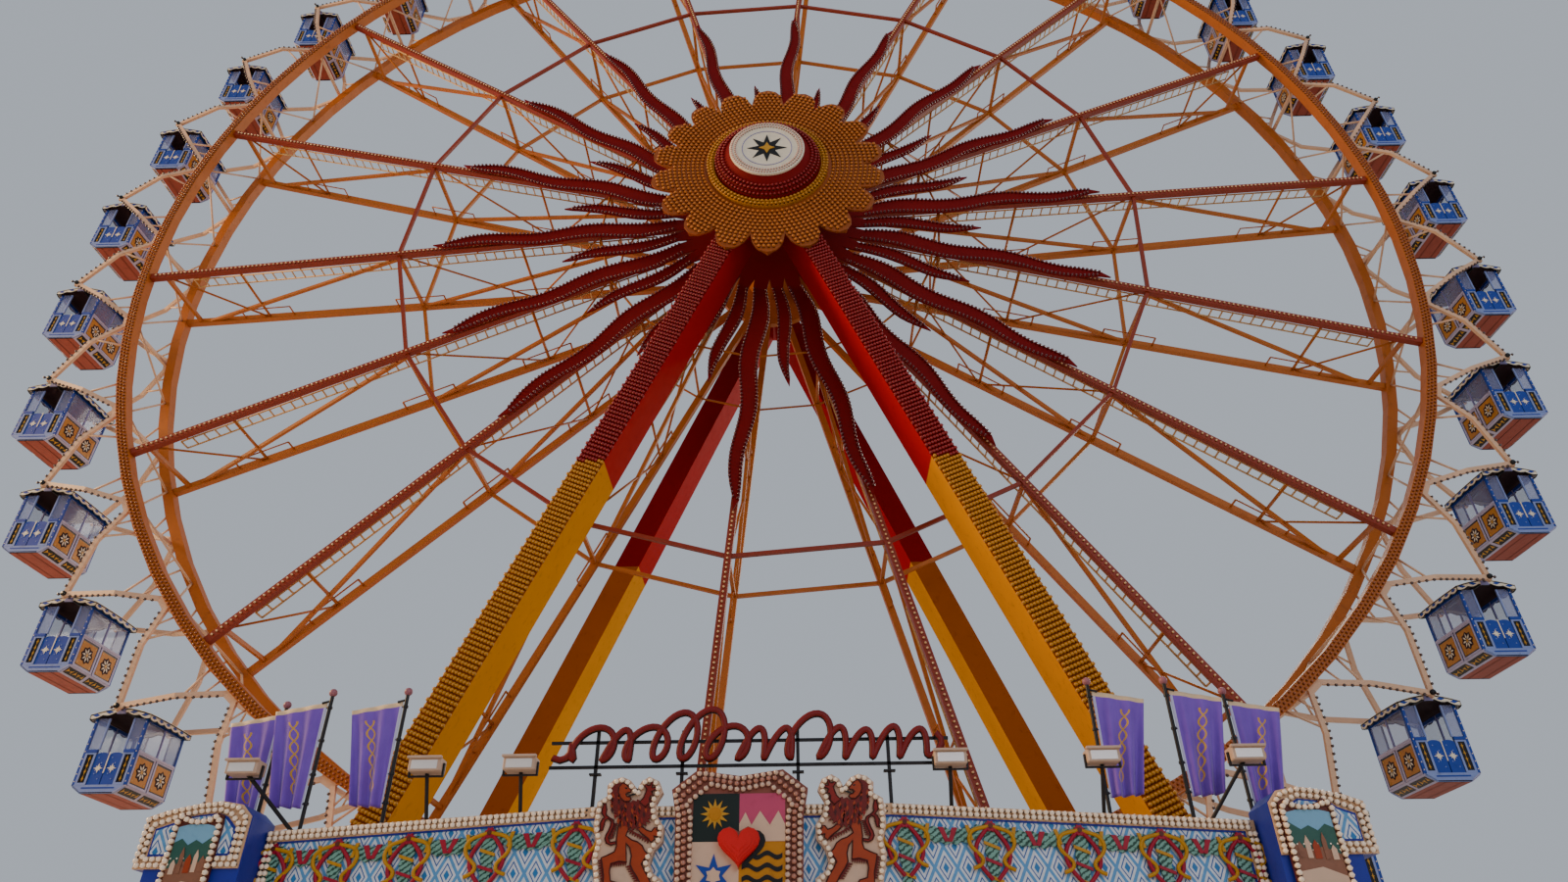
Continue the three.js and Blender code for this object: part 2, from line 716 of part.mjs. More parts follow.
piece('flags_right', flagSet(1, [[6.0, -7.75], [7.4, -7.75], [8.7, -7.1]]), '#6a35b8', 0.8, 0);

export default wheel;
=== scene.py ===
import json
import math

import bpy
import numpy as np
from mathutils import Matrix, Vector


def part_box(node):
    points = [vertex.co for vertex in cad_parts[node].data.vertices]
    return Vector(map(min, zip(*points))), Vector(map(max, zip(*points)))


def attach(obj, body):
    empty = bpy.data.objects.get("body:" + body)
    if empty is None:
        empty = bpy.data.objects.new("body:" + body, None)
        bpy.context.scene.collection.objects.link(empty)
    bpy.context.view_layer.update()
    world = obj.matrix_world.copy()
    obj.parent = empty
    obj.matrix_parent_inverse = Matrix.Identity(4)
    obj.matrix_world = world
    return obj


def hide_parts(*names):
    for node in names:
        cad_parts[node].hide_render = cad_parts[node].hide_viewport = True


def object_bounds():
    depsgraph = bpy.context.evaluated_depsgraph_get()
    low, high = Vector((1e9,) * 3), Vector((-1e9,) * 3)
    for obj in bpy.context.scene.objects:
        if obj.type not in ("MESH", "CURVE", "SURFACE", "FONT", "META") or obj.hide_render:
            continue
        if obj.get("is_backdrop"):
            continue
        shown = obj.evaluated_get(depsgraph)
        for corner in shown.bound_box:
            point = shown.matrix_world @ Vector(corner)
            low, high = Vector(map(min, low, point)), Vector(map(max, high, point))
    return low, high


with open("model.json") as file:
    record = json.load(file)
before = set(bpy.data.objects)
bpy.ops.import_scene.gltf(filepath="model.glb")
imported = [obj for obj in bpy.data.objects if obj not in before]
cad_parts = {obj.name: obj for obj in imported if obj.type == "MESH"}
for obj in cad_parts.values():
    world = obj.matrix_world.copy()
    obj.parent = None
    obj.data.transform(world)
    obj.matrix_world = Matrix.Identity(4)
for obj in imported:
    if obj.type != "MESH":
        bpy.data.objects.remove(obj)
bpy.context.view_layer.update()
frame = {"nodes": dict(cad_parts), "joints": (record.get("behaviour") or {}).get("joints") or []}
print("frame loaded with", len(frame["nodes"]), "nodes")

# Places from the frame in real metres: the model is half the real size, and the helpers scale it down
metre = 0.5
joints = {joint["name"]: Vector(joint["pos_m"]) for joint in frame["joints"]}
hub = joints["wheel_spin"] / metre
pivots = {name[:-6]: place for name, place in joints.items() if name.endswith("_swing")}
firstPivot = pivots["cabin_01"] / metre - hub
firstSpoke = math.atan2(firstPivot.z, firstPivot.x)
pivotRadius = firstPivot.length
spokeCount = 18
spokeAngles = [firstSpoke + 2 * math.pi * k / spokeCount for k in range(spokeCount)]
legJoint = hub.z - 11.0  # the legs change colour at this height
towardViewer = Vector((0, -1, 0))


# Small helpers: every place, size and bevel is given in real metres
def linear(hexColour, dark=1.0):
    channels = [int(hexColour[i:i + 2], 16) / 255 for i in (1, 3, 5)]
    return tuple(
        dark * (c / 12.92 if c <= 0.04045 else ((c + 0.055) / 1.055) ** 2.4) for c in channels
    ) + (1,)


def feed(node, inputs):  # a value is stored in its socket, another node's socket is linked to it
    for name, value in inputs.items():
        if isinstance(value, bpy.types.NodeSocket):
            node.id_data.links.new(value, node.inputs[name])
        else:
            node.inputs[name].default_value = value
    return node


def addNode(tree, kind, inputs, **settings):
    node = tree.nodes.new("ShaderNode" + kind)
    for name, value in settings.items():
        setattr(node, name, value)
    return feed(node, inputs)


def newMaterial(name, inputs):
    material = bpy.data.materials.new(name)
    material.use_nodes = True
    shader = feed(material.node_tree.nodes["Principled BSDF"], inputs)
    return material, material.node_tree, shader


def selectOnly(*things):
    if bpy.context.object and bpy.context.object.mode != "OBJECT":
        bpy.ops.object.mode_set(mode="OBJECT")
    bpy.ops.object.select_all(action="DESELECT")
    for thing in things:
        thing.select_set(True)
        bpy.context.view_layer.objects.active = thing


def editAll(*steps):  # edit-mode steps, each on the whole of the active mesh
    bpy.ops.object.mode_set(mode="EDIT")
    for step in steps:
        bpy.ops.mesh.select_all(action="SELECT")
        step()
    bpy.ops.object.mode_set(mode="OBJECT")


def pointOut():
    bpy.ops.mesh.normals_make_consistent(inside=False)


def applyPlace(thing):
    selectOnly(thing)
    bpy.ops.object.transform_apply(location=True, rotation=True, scale=True)


def joinParts(parts, name):
    for part in parts:
        applyPlace(part)
    selectOnly(*parts)
    if len(parts) > 1:
        bpy.ops.object.join()
    joined = bpy.context.object
    joined.name = joined.data.name = name
    return joined


def mountOn(thing, body, slot, *nodes):  # the last step of every piece, with the CAD nodes it stands for
    applyPlace(thing)
    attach(thing, body)
    if nodes:
        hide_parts(*nodes)
    return thing


def paint(thing, *materials):
    thing.data.materials.clear()
    for material in materials:
        thing.data.materials.append(material)
    return thing


def newObject(name, data):
    made = bpy.data.objects.new(name, data)
    bpy.context.collection.objects.link(made)
    selectOnly(made)
    return made


def newMesh(name, points, edges, faces):
    mesh = bpy.data.meshes.new(name)
    mesh.from_pydata(points, edges, faces)
    return newObject(name, mesh)


def addBlock(low, high, material, bevel=0.0):  # a block with broken edges, from two corners
    selectOnly()
    middle = (Vector(low) + Vector(high)) / 2
    bpy.ops.mesh.primitive_cube_add(size=1, location=middle * metre)
    block = bpy.context.object
    block.scale = [max((b - a) * metre, 0.0005) for a, b in zip(low, high)]
    applyPlace(block)
    if bevel:
        editAll(lambda: bpy.ops.mesh.bevel(offset=bevel * metre, segments=1))
    return paint(block, material)


def addRod(start, end, radius, material, sides=6):  # a round bar between two points
    selectOnly()
    start, end = Vector(start) * metre, Vector(end) * metre
    run = end - start
    bpy.ops.mesh.primitive_cylinder_add(
        vertices=sides, radius=radius * metre, depth=run.length, location=(start + end) / 2,
    )
    rod = bpy.context.object
    rod.rotation_euler = run.to_track_quat("Z", "Y").to_euler()
    applyPlace(rod)
    bpy.ops.object.shade_smooth_by_angle(angle=math.radians(40))
    return paint(rod, material)


def addPlate(points, thick, material, front):
    # a flat plate cut from an outline in X and Z; `front` is how far its face stands towards the viewer
    plate = newMesh(
        "plate", [(x * metre, -front * metre, z * metre) for x, z in points], [], [range(len(points))]
    )
    editAll(
        lambda: bpy.ops.mesh.extrude_region_move(TRANSFORM_OT_translate={"value": (0, thick * metre, 0)}),
        pointOut,
    )
    return paint(plate, material)


def addTube(points, radius, material, closed=False, resolution=1, sides=0, smooth=True):
    # a tube that follows points through a bevelled curve, turned into a mesh
    curve = bpy.data.curves.new("tube", "CURVE")
    curve.dimensions = "3D"
    curve.bevel_depth = radius * metre
    curve.bevel_resolution = sides
    curve.resolution_u = resolution
    curve.use_fill_caps = not closed
    spline = curve.splines.new("NURBS" if smooth else "POLY")
    spline.points.add(len(points) - 1)
    for point, place in zip(spline.points, points):
        point.co = (*(v * metre for v in place), 1)
    spline.use_cyclic_u = closed
    if smooth:
        spline.order_u = 3
        spline.use_endpoint_u = not closed
    newObject("tube", curve)
    bpy.ops.object.convert(target="MESH")
    bpy.ops.object.shade_smooth()
    return paint(bpy.context.object, material)


def stampCopies(template, matrices, name):
    # what repeats is modelled once; this lays a copy of it at every matrix, as one mesh
    mesh = template.data
    count = len(mesh.vertices)
    corners = np.empty(count * 3)
    mesh.vertices.foreach_get("co", corners)
    points = corners.reshape(-1, 3)
    faces = [list(face.vertices) for face in mesh.polygons]
    moved = [points @ np.array(m.to_3x3()).T + np.array(m.translation) for m in matrices]
    shifted = [[corner + count * k for corner in face] for k in range(len(matrices)) for face in faces]
    stamped = newMesh(name, np.concatenate(moved).tolist(), [], shifted)
    paint(stamped, *mesh.materials)
    for setting in ("material_index", "use_smooth"):
        values = [getattr(face, setting) for face in mesh.polygons]
        stamped.data.polygons.foreach_set(setting, values * len(matrices))
    selectOnly(template)
    bpy.ops.object.delete()
    return stamped


def aroundHub(angle):  # turns a shape that is modelled along +X from the hub to a spoke's angle
    return Matrix.Translation(hub * metre) @ Matrix.Rotation(-angle, 4, "Y")


def facing(place, direction):  # a matrix that puts a template's +Z along a direction
    turn = Vector(direction).to_track_quat("Z", "Y").to_matrix().to_4x4()
    return Matrix.Translation(Vector(place) * metre) @ turn


def stampLamps(radius, glass, socket, places, name, body, slot):
    # small globes on sockets, each with its foot at its place
    size = radius * metre
    selectOnly()
    bpy.ops.mesh.primitive_ico_sphere_add(subdivisions=1, radius=size, location=(0, 0, size * 0.9))
    parts = [paint(bpy.context.object, glass)]
    bpy.ops.object.shade_smooth()
    if socket:
        selectOnly()
        bpy.ops.mesh.primitive_cylinder_add(
            vertices=6, radius=size * 0.85, depth=size * 1.1, location=(0, 0, size * 0.2),
            end_fill_type="NOTHING",
        )
        parts.append(paint(bpy.context.object, socket))
    mountOn(stampCopies(joinParts(parts, "lamp"), places, name), body, slot)


def starPoints(x, z, long, short, tips, start=0.0):
    ends = [(short if n % 2 else long, start + math.pi * n / tips) for n in range(2 * tips)]
    return [(x + reach * math.cos(angle), z + reach * math.sin(angle)) for reach, angle in ends]


def rectangle(x0, x1, z0, z1):
    return [(x0, z0), (x1, z0), (x1, z1), (x0, z1)]


def sided(hand, a, b):  # a span on the left (-1) or right (1) side, low end first
    return sorted((hand * a, hand * b))


# Materials
def enamel(name, colour, roughness=0.46, worn="#2a1a12", wear=0.35, patch=0.6):
    # gloss machine enamel, brushed on steel: even colour, soft cloudy fading and a little grime in patches
    material, tree, shader = newMaterial(name, {"Specular IOR Level": 0.3})
    place = addNode(tree, "TexCoord", {}).outputs["Object"]
    clouds = addNode(tree, "TexNoise", {"Vector": place, "Scale": 1 / patch, "Detail": 5, "Roughness": 0.6})
    shade = addNode(
        tree, "Mix", {"Factor": clouds.outputs["Fac"], 6: linear(colour), 7: linear(colour, 0.72)},
        data_type="RGBA",
    )
    spots = addNode(
        tree, "TexNoise", {"Vector": place, "Scale": 9.0, "Detail": 8, "Roughness": 0.7}
    ).outputs["Fac"]
    grime = addNode(tree, "MapRange", {
        "Value": spots, "From Min": 0.56, "From Max": 0.74, "To Min": 0.0, "To Max": wear
    })
    colourMix = addNode(
        tree, "Mix", {"Factor": grime.outputs["Result"], 6: shade.outputs[2], 7: linear(worn)},
        data_type="RGBA",
    )
    gloss = addNode(
        tree, "MapRange", {"Value": spots, "To Min": roughness - 0.08, "To Max": roughness + 0.16}
    )
    ripple = addNode(tree, "Bump", {"Height": spots, "Strength": 0.12, "Distance": 0.002})
    feed(shader, {
        "Base Color": colourMix.outputs[2], "Roughness": gloss.outputs["Result"],
        "Normal": ripple.outputs["Normal"],
    })
    return material


def lampGlass(name, colour, roughness, glow=0.0, coat=0.6):
    # a small frosted lamp, unlit by day: glossy pale glass that passes a little light
    return newMaterial(name, {
        "Base Color": linear(colour), "Roughness": roughness, "Coat Weight": coat,
        "Emission Color": linear(colour), "Emission Strength": glow,
    })[0]


# Frame and wheel: warm oranges and rust reds, cream arms, and near-matt maroon flames; the front chords'
# rust red is the spoke orange darkened as painted shade
rimEnamel = enamel("amberRimEnamel", "#b8600a", worn="#3c1604", wear=0.5)
spokeEnamel = enamel("goldenOrangeSpokeEnamel", "#ba640c", worn="#4a1804")
# front chords: the spokes' orange darkened to rust red, as painted shade
shadedChordEnamel = enamel("shadedRustRedChordEnamel", "#8e2c08", worn="#3a1004")
creamEnamel = enamel("creamArmEnamel", "#e0b490", worn="#7c5c38")
flameEnamel = enamel("maroonFlameEnamel", "#780608", roughness=0.62, worn="#2a0304")
feed(flameEnamel.node_tree.nodes["Principled BSDF"], {"Specular IOR Level": 0.1})
redEnamel = enamel("signalRedEnamel", "#b80408", worn="#400204")
deepBlueEnamel = enamel("deepBlueTowerEnamel", "#1a2a9a", worn="#0a0f38")
brownEnamel = enamel("brownBaseEnamel", "#6a4428", roughness=0.6, worn="#2a1a10")
blackEnamel = enamel("blackSteelEnamel", "#1a1618", roughness=0.5, worn="#3a2a20")
ladderEnamel = enamel("sandLadderEnamel", "#d4a870", worn="#7c4c28")

# Cabins: blue and lilac enamel with golden panels, gold bronze, ivory trim and a dark lining
cabinBlue = enamel("royalBlueCabinEnamel", "#123c9c", worn="#08143c", patch=0.3)
paleFrame = enamel("greyBlueFrameEnamel", "#8494c8", worn="#3c3430", wear=0.5, patch=0.2)
sideFrame = enamel("lilacWhiteFrameEnamel", "#b8b0cc", worn="#5c4c50", wear=0.5, patch=0.2)
amberPanel = enamel("goldenPanelEnamel", "#c07c08", worn="#5a2a04", wear=0.5, patch=0.15)
blackGloss = enamel("blackGlossEnamel", "#0c0808", roughness=0.3, worn="#2a1c10", wear=0.3)
goldPaint = enamel("goldBronzePaint", "#c8901c", roughness=0.32, worn="#5a3a08", wear=0.4, patch=0.1)
ivoryPaint = enamel("ivoryPaint", "#f2e4c8", worn="#a08a68", patch=0.2)
undersideRed = enamel("redOxideUnderside", "#96402c", roughness=0.6, worn="#4a1c10", wear=0.45, patch=0.4)
maroonInside = enamel("maroonLining", "#2c0a10", roughness=0.7, worn="#120406", wear=0.3)
lilacMullion = enamel("lilacMullionEnamel", "#8c88b8", worn="#484468")
# thin smoked lilac acrylic: see-through, with a pale reflection
paneAcrylic = newMaterial(
    "lilacAcrylicPane", {"Base Color": linear("#9298c4"), "Roughness": 0.12, "Alpha": 0.3}
)[0]

# Sun and its boss: umber and golden enamel behind the lamps
sunDark = enamel("umberSunBase", "#984a06", worn="#3c1804")
goldenEnamel = enamel("goldenBossEnamel", "#c07c08", worn="#4a2804")

# Facade: sign-painter's enamels, each a little faded and chipped
tanBand = enamel("creamTanBorderEnamel", "#dcb48c", worn="#8a6040", wear=0.4, patch=0.2)
brownFrame = enamel("brownFrameEnamel", "#5c2416", worn="#200a04", wear=0.4, patch=0.2)
crimsonRibbon = enamel("crimsonRibbonEnamel", "#a0082c", worn="#40040c", wear=0.4, patch=0.1)
yellowRibbon = enamel("yellowRibbonEnamel", "#c08808", worn="#5a3c04", wear=0.4, patch=0.1)
lionRed = enamel("russetLionEnamel", "#861404", worn="#3c0802", wear=0.6, patch=0.06)
lionMane = enamel("darkRussetManeEnamel", "#6c1206", worn="#280502", wear=0.7, patch=0.05)
lionEdge = enamel("darkLionOutlineEnamel", "#420804", worn="#1c0200", wear=0.3, patch=0.06)
lionOrange = enamel("orangeLionEnamel", "#a03808", worn="#5a1604", wear=0.5, patch=0.08)
crestBrown = enamel("roseBrownCrestEnamel", "#8a4a3a", worn="#3c1810", wear=0.4, patch=0.2)
heartRed = enamel("brightRedHeartEnamel", "#d40408", roughness=0.3, worn="#6a0204", wear=0.2)
rosePink = enamel("rosePinkEnamel", "#c04468", worn="#5a1428", wear=0.25)
bottleGreen = enamel("bottleGreenEnamel", "#0a1c16", worn="#040a08", wear=0.3)
creamQuarter = enamel("creamQuarterEnamel", "#d8b498", worn="#8a6448", wear=0.25)
skyBlue = enamel("skyBlueEnamel", "#7ab0d0", worn="#3a6078", wear=0.2)
hillGreen = enamel("hillGreenEnamel", "#2c5c50", worn="#102a22", wear=0.5, patch=0.05)
stoneBrown = enamel("stoneBrownEnamel", "#8c5c44", worn="#3a2016", wear=0.6, patch=0.05)
postBrown = enamel("brownPostEnamel", "#5a3420", roughness=0.6, worn="#20100a")
scrollEnamel = enamel("crimsonScrollEnamel", "#780a06", worn="#2a0402")
lampBeige = enamel("beigeFloodlightEnamel", "#c8a890", worn="#6a4c3c", wear=0.3, patch=0.1)
poleSteel = enamel("blackPoleEnamel", "#141216", roughness=0.4, worn="#3a3432", wear=0.3)
roseBall = enamel("rosePoleBallEnamel", "#a0646c", worn="#402028", roughness=0.35, wear=0.4, patch=0.1)

# Lamps: small coloured glasses, none of them lit
# dark glass for the lamp sockets, partly their own dark colour and partly painted shadow round the lamps,
# and for the facade's dots, which are painted shadow between the lamps
lampShadowDark = lampGlass("darkLampSocketShadowGlass", "#2a100a", 0.3)
rimBulb = lampGlass("brownRimLampGlass", "#8c4006", 0.4)
chordBulb = lampGlass("paleAmberLampGlass", "#e0b480", 0.25, 0.03)
smokedBulb = lampGlass("smokedBrownLampGlass", "#3c2014", 0.3)
maroonBulb = lampGlass("maroonLampGlass", "#5a0608", 0.25)
sunBulb = lampGlass("ochreLampGlass", "#bc6a08", 0.38, coat=0.0)
yellowBulb = lampGlass("yellowLampGlass", "#bc7c0c", 0.35, coat=0.0)
redBulb = lampGlass("redLampGlass", "#8a0608", 0.35, coat=0.0)
blushBulb = lampGlass("blushLampGlass", "#d8b0a0", 0.25, coat=0.3)
roseBulb = lampGlass("roseBrownLampGlass", "#a86c58", 0.2)
blondBulb = lampGlass("roseBeigeLampGlass", "#cca890", 0.2)
ivoryBulb = lampGlass("ivoryLampGlass", "#f4dcc0", 0.2, 0.05)
floodGlass = lampGlass("floodlightGlass", "#d8d4d0", 0.15)


def legEnamel():
    # enamel in two colours, red above the leg's bolted joint, yellow below it, with painted shade: darker
    # on every face turned towards the viewer
    material = enamel("redOverYellowLegEnamel", "#b80408", roughness=0.6, worn="#4a0a02")
    tree = material.node_tree
    place = addNode(tree, "TexCoord", {}).outputs["Object"]
    height = addNode(tree, "SeparateXYZ", {"Vector": place}).outputs["Z"]
    below = addNode(tree, "Math", {0: height, 1: legJoint * metre}, operation="LESS_THAN").outputs["Value"]
    normal = addNode(tree, "NewGeometry", {}).outputs["True Normal"]
    faced = addNode(tree, "SeparateXYZ", {"Vector": normal}).outputs["Y"]
    # faces turned towards the viewer get painted shade
    shadedFrontMask = addNode(tree, "Math", {0: faced, 1: -0.7}, operation="LESS_THAN").outputs["Value"]
    base = [
        node for node in tree.nodes if node.bl_idname == "ShaderNodeMix" and not node.inputs[6].is_linked
    ][0]
    # for each cloudy tone: plain red and yellow, and darker copies of them that paint the shade on the
    # front faces
    for socket, dark in ((6, 1.0), (7, 0.8)):
        plain, paintedShadeFront = [
            addNode(
                tree, "Mix", {"Factor": below, 6: linear(upper, dark), 7: linear(lower, dark)},
                data_type="RGBA",
            ).outputs[2]
            for upper, lower in (("#b40004", "#e09400"), ("#820406", "#a0500a"))
        ]
        chosen = addNode(tree, "Mix", {"Factor": shadedFrontMask, 6: plain, 7: paintedShadeFront}, data_type="RGBA")
        feed(base, {socket: chosen.outputs[2]})
    feed(tree.nodes["Principled BSDF"], {"Specular IOR Level": 0.015})
    return material


def lozengePaint():
    # board painted with nested lozenges: white ground, blue lines and a bright blue heart to each lozenge
    material, tree, shader = newMaterial(
        "paintedLozengeBoard", {"Roughness": 0.45, "Specular IOR Level": 0.3}
    )
    place = addNode(tree, "TexCoord", {}).outputs["Object"]
    split = addNode(tree, "SeparateXYZ", {"Vector": place}).outputs
    folds = []
    for axis, pitch, slant in (("X", 0.37, 0.06), ("Z", 0.65, 0.0)):
        moved = addNode(tree, "Math", {0: split["Z"], 1: slant, 2: split[axis]}, operation="MULTIPLY_ADD")
        scaled = addNode(tree, "Math", {0: moved.outputs["Value"], 1: pitch * metre}, operation="DIVIDE")
        folds.append(addNode(
            tree, "Math", {0: scaled.outputs["Value"], 1: 0.5}, operation="PINGPONG"
        ).outputs["Value"])
    total = addNode(tree, "Math", {0: folds[0], 1: folds[1]}, operation="ADD").outputs["Value"]
    folded = addNode(tree, "Math", {0: total, 1: 0.5}, operation="PINGPONG").outputs["Value"]
    bands = addNode(tree, "ValToRGB", {"Fac": folded})
    ramp = bands.color_ramp
    ramp.interpolation = "CONSTANT"
    stops = ((0.0, "#2a7ab8"), (0.13, "#d8dee8"), (0.24, "#3060a4"), (0.3, "#dce2ea"), (0.42, "#5c9cd0"))
    while len(ramp.elements) < len(stops):
        ramp.elements.new(1.0)
    for element, (position, colour) in zip(ramp.elements, stops):
        element.position = position
        element.color = linear(colour)
    brush = addNode(tree, "TexNoise", {"Vector": place, "Scale": 30.0, "Detail": 3}).outputs["Fac"]
    fade = addNode(
        tree, "Mix", {"Factor": 0.35, 6: bands.outputs["Color"], 7: brush}, data_type="RGBA",
        blend_type="MULTIPLY",
    )
    feed(shader, {"Base Color": fade.outputs[2]})
    return material


def leafPaint():
    # painted laurel: sage leaves in slanting rows with dark gaps between them
    material = enamel("sageLaurelEnamel", "#78a898", worn="#2a5048", wear=0.3, patch=0.1)
    tree = material.node_tree
    shader = tree.nodes["Principled BSDF"]
    place = addNode(tree, "TexCoord", {}).outputs["Object"]
    turned = addNode(
        tree, "Mapping", {"Vector": place, "Rotation": (0, math.radians(35), 0)}
    ).outputs["Vector"]
    rows = addNode(
        tree, "TexWave",
        {"Vector": turned, "Scale": 8.0, "Distortion": 3.0, "Detail": 2, "Detail Scale": 6.0},
        bands_direction="Z",
    ).outputs["Fac"]
    gap = addNode(
        tree, "MapRange", {"Value": rows, "From Min": 0.2, "From Max": 0.5, "To Min": 1.0, "To Max": 0.0}
    )
    leaf = shader.inputs["Base Color"].links[0].from_socket
    pick = addNode(
        tree, "Mix", {"Factor": gap.outputs["Result"], 6: leaf, 7: linear("#1c4438")}, data_type="RGBA"
    )
    feed(shader, {"Base Color": pick.outputs[2]})
    return material


def flagFabric():
    # purple satin-weave cloth with a cream hem at the top, a pale sleeve at the pole and a plain gold vine
    material, tree, shader = newMaterial(
        "purpleFlagSatin", {"Roughness": 0.55, "Sheen Weight": 0.35, "Specular IOR Level": 0.35},
    )
    place = addNode(tree, "UVMap", {}, uv_map="cloth").outputs["UV"]
    split = addNode(tree, "SeparateXYZ", {"Vector": place}).outputs
    made = {"u": split["X"], "v": split["Y"]}
    for name, operation, a, b in (  # each sum by its name; a word is a sum made before it
        ("turned", "MULTIPLY", "v", 24.0), ("wave", "SINE", "turned", 0.0),
        ("sway", "MULTIPLY", "wave", 0.075),
        ("lean", "MULTIPLY", "v", 0.34), ("middle", "ADD", "lean", 0.34),
        ("rightStem", "ADD", "middle", "sway"), ("leftStem", "SUBTRACT", "middle", "sway"),
        ("rightOff", "SUBTRACT", "u", "rightStem"), ("leftOff", "SUBTRACT", "u", "leftStem"),
        ("rightFar", "ABSOLUTE", "rightOff", 0.0), ("leftFar", "ABSOLUTE", "leftOff", 0.0),
        ("rightVine", "LESS_THAN", "rightFar", 0.02), ("leftVine", "LESS_THAN", "leftFar", 0.02),
        ("vines", "MAXIMUM", "rightVine", "leftVine"), ("aboveFoot", "GREATER_THAN", "v", 0.14),
        ("underHem", "LESS_THAN", "v", 0.86), ("reach", "MULTIPLY", "aboveFoot", "underHem"),
        ("vine", "MULTIPLY", "vines", "reach"), ("hem", "GREATER_THAN", "v", 0.955),
        ("sleeve", "LESS_THAN", "u", 0.06),
    ):
        node = addNode(tree, "Math", {0: made.get(a, a), 1: made.get(b, b)}, operation=operation)
        made[name] = node.outputs["Value"]
    weave = addNode(tree, "TexNoise", {"Vector": place, "Scale": 3.0, "Detail": 4}).outputs["Fac"]
    colour = addNode(
        tree, "Mix", {"Factor": weave, 6: linear("#5c2a9c"), 7: linear("#8458c8")}, data_type="RGBA"
    )
    for mask, tint in (("vine", "#c8962c"), ("sleeve", "#b8b4d4"), ("hem", "#d8b890")):
        colour = addNode(
            tree, "Mix", {"Factor": made[mask], 6: colour.outputs[2], 7: linear(tint)}, data_type="RGBA",
        )
    threads = addNode(
        tree, "TexWave", {"Vector": place, "Scale": 90.0, "Distortion": 0.6}, bands_direction="DIAGONAL",
    ).outputs["Fac"]
    bump = addNode(tree, "Bump", {"Height": threads, "Strength": 0.15, "Distance": 0.001}).outputs["Normal"]
    feed(shader, {"Base Color": colour.outputs[2], "Normal": bump})
    return material


legPaint, lozengeBoard, laurel, flagCloth = legEnamel(), lozengePaint(), leafPaint(), flagFabric()
for material, nodes in (
    (rimEnamel, ("front_rim", "rear_rim")), (shadedChordEnamel, ("front_spokes",)),
    (spokeEnamel, ("rear_spokes",)),
    (creamEnamel, ("front_cabin_arms", "rear_cabin_arms")), (redEnamel, ("axle_and_heads",)),
    (legPaint, ("front_leg_left", "front_leg_right", "rear_leg_left", "rear_leg_right")),
    (sunDark, ("sun_disc",)),
    (brownEnamel, ("ground_frame",)), (crestBrown, ("crest",)),
    (creamQuarter, ("lion_board_left", "lion_board_right")),
    (deepBlueEnamel, ("tower_left", "tower_right")),
):
    for node in nodes:
        paint(frame["nodes"][node], material)
print("finishes ready and frame painted")

# Cabin, modelled once around its pivot
cabinSize = {
    "halfWide": 0.68, "halfDeep": 0.87, "keel": -2.06, "deck": -1.87, "sill": -1.04, "eave": -0.2,
    "slope": 0.27, "roofHalfWide": 0.78, "roofHalfDeep": 0.97, "post": 0.07, "narrow": 0.27,
}
wide, deep, keel, deck, sill, eave, slope, roofWide, roofDeep, post, narrow = cabinSize.values()
quarterTurn = math.pi / 2
cabinParts = []


def cabinBlock(low, high, material, bevel=0.008):
    cabinParts.append(addBlock(low, high, material, bevel))


def cabinPlate(points, thick, material, front, turn=0.0):
    # a plate whose face stands `front` towards the viewer, then turned about the upright axis
    plate = addPlate(points, thick, material, front)
    plate.data.transform(Matrix.Rotation(turn, 4, "Z"))
    cabinParts.append(plate)


def framePlates(x0, x1, z0, z1, edge, thick, material, front, turn=0.0):
    # a picture frame: two rails and two stiles
    for corners in ((x0, x1, z0, z0 + edge), (x0, x1, z1 - edge, z1), (x0, x0 + edge, z0 + edge, z1 - edge),
                    (x1 - edge, x1, z0 + edge, z1 - edge)):
        cabinPlate(rectangle(*corners), thick, material, front, turn)


def goldColumn(x, z0, z1, front, leaf=0.045):  # a stem of stacked gold leaves
    count = max(2, round((z1 - z0) / 0.14))
    step = (z1 - z0) / count
    for n in range(count):
        z = z0 + (n + 0.5) * step
        cabinPlate(starPoints(x, z, step * 0.52, leaf * 0.42, 2, quarterTurn), 0.006, goldPaint, front)
        leaves = starPoints(x, z, leaf, leaf * 0.3, 3, quarterTurn + n * math.pi / 3)
        cabinPlate(leaves, 0.008, goldPaint, front + 0.001)


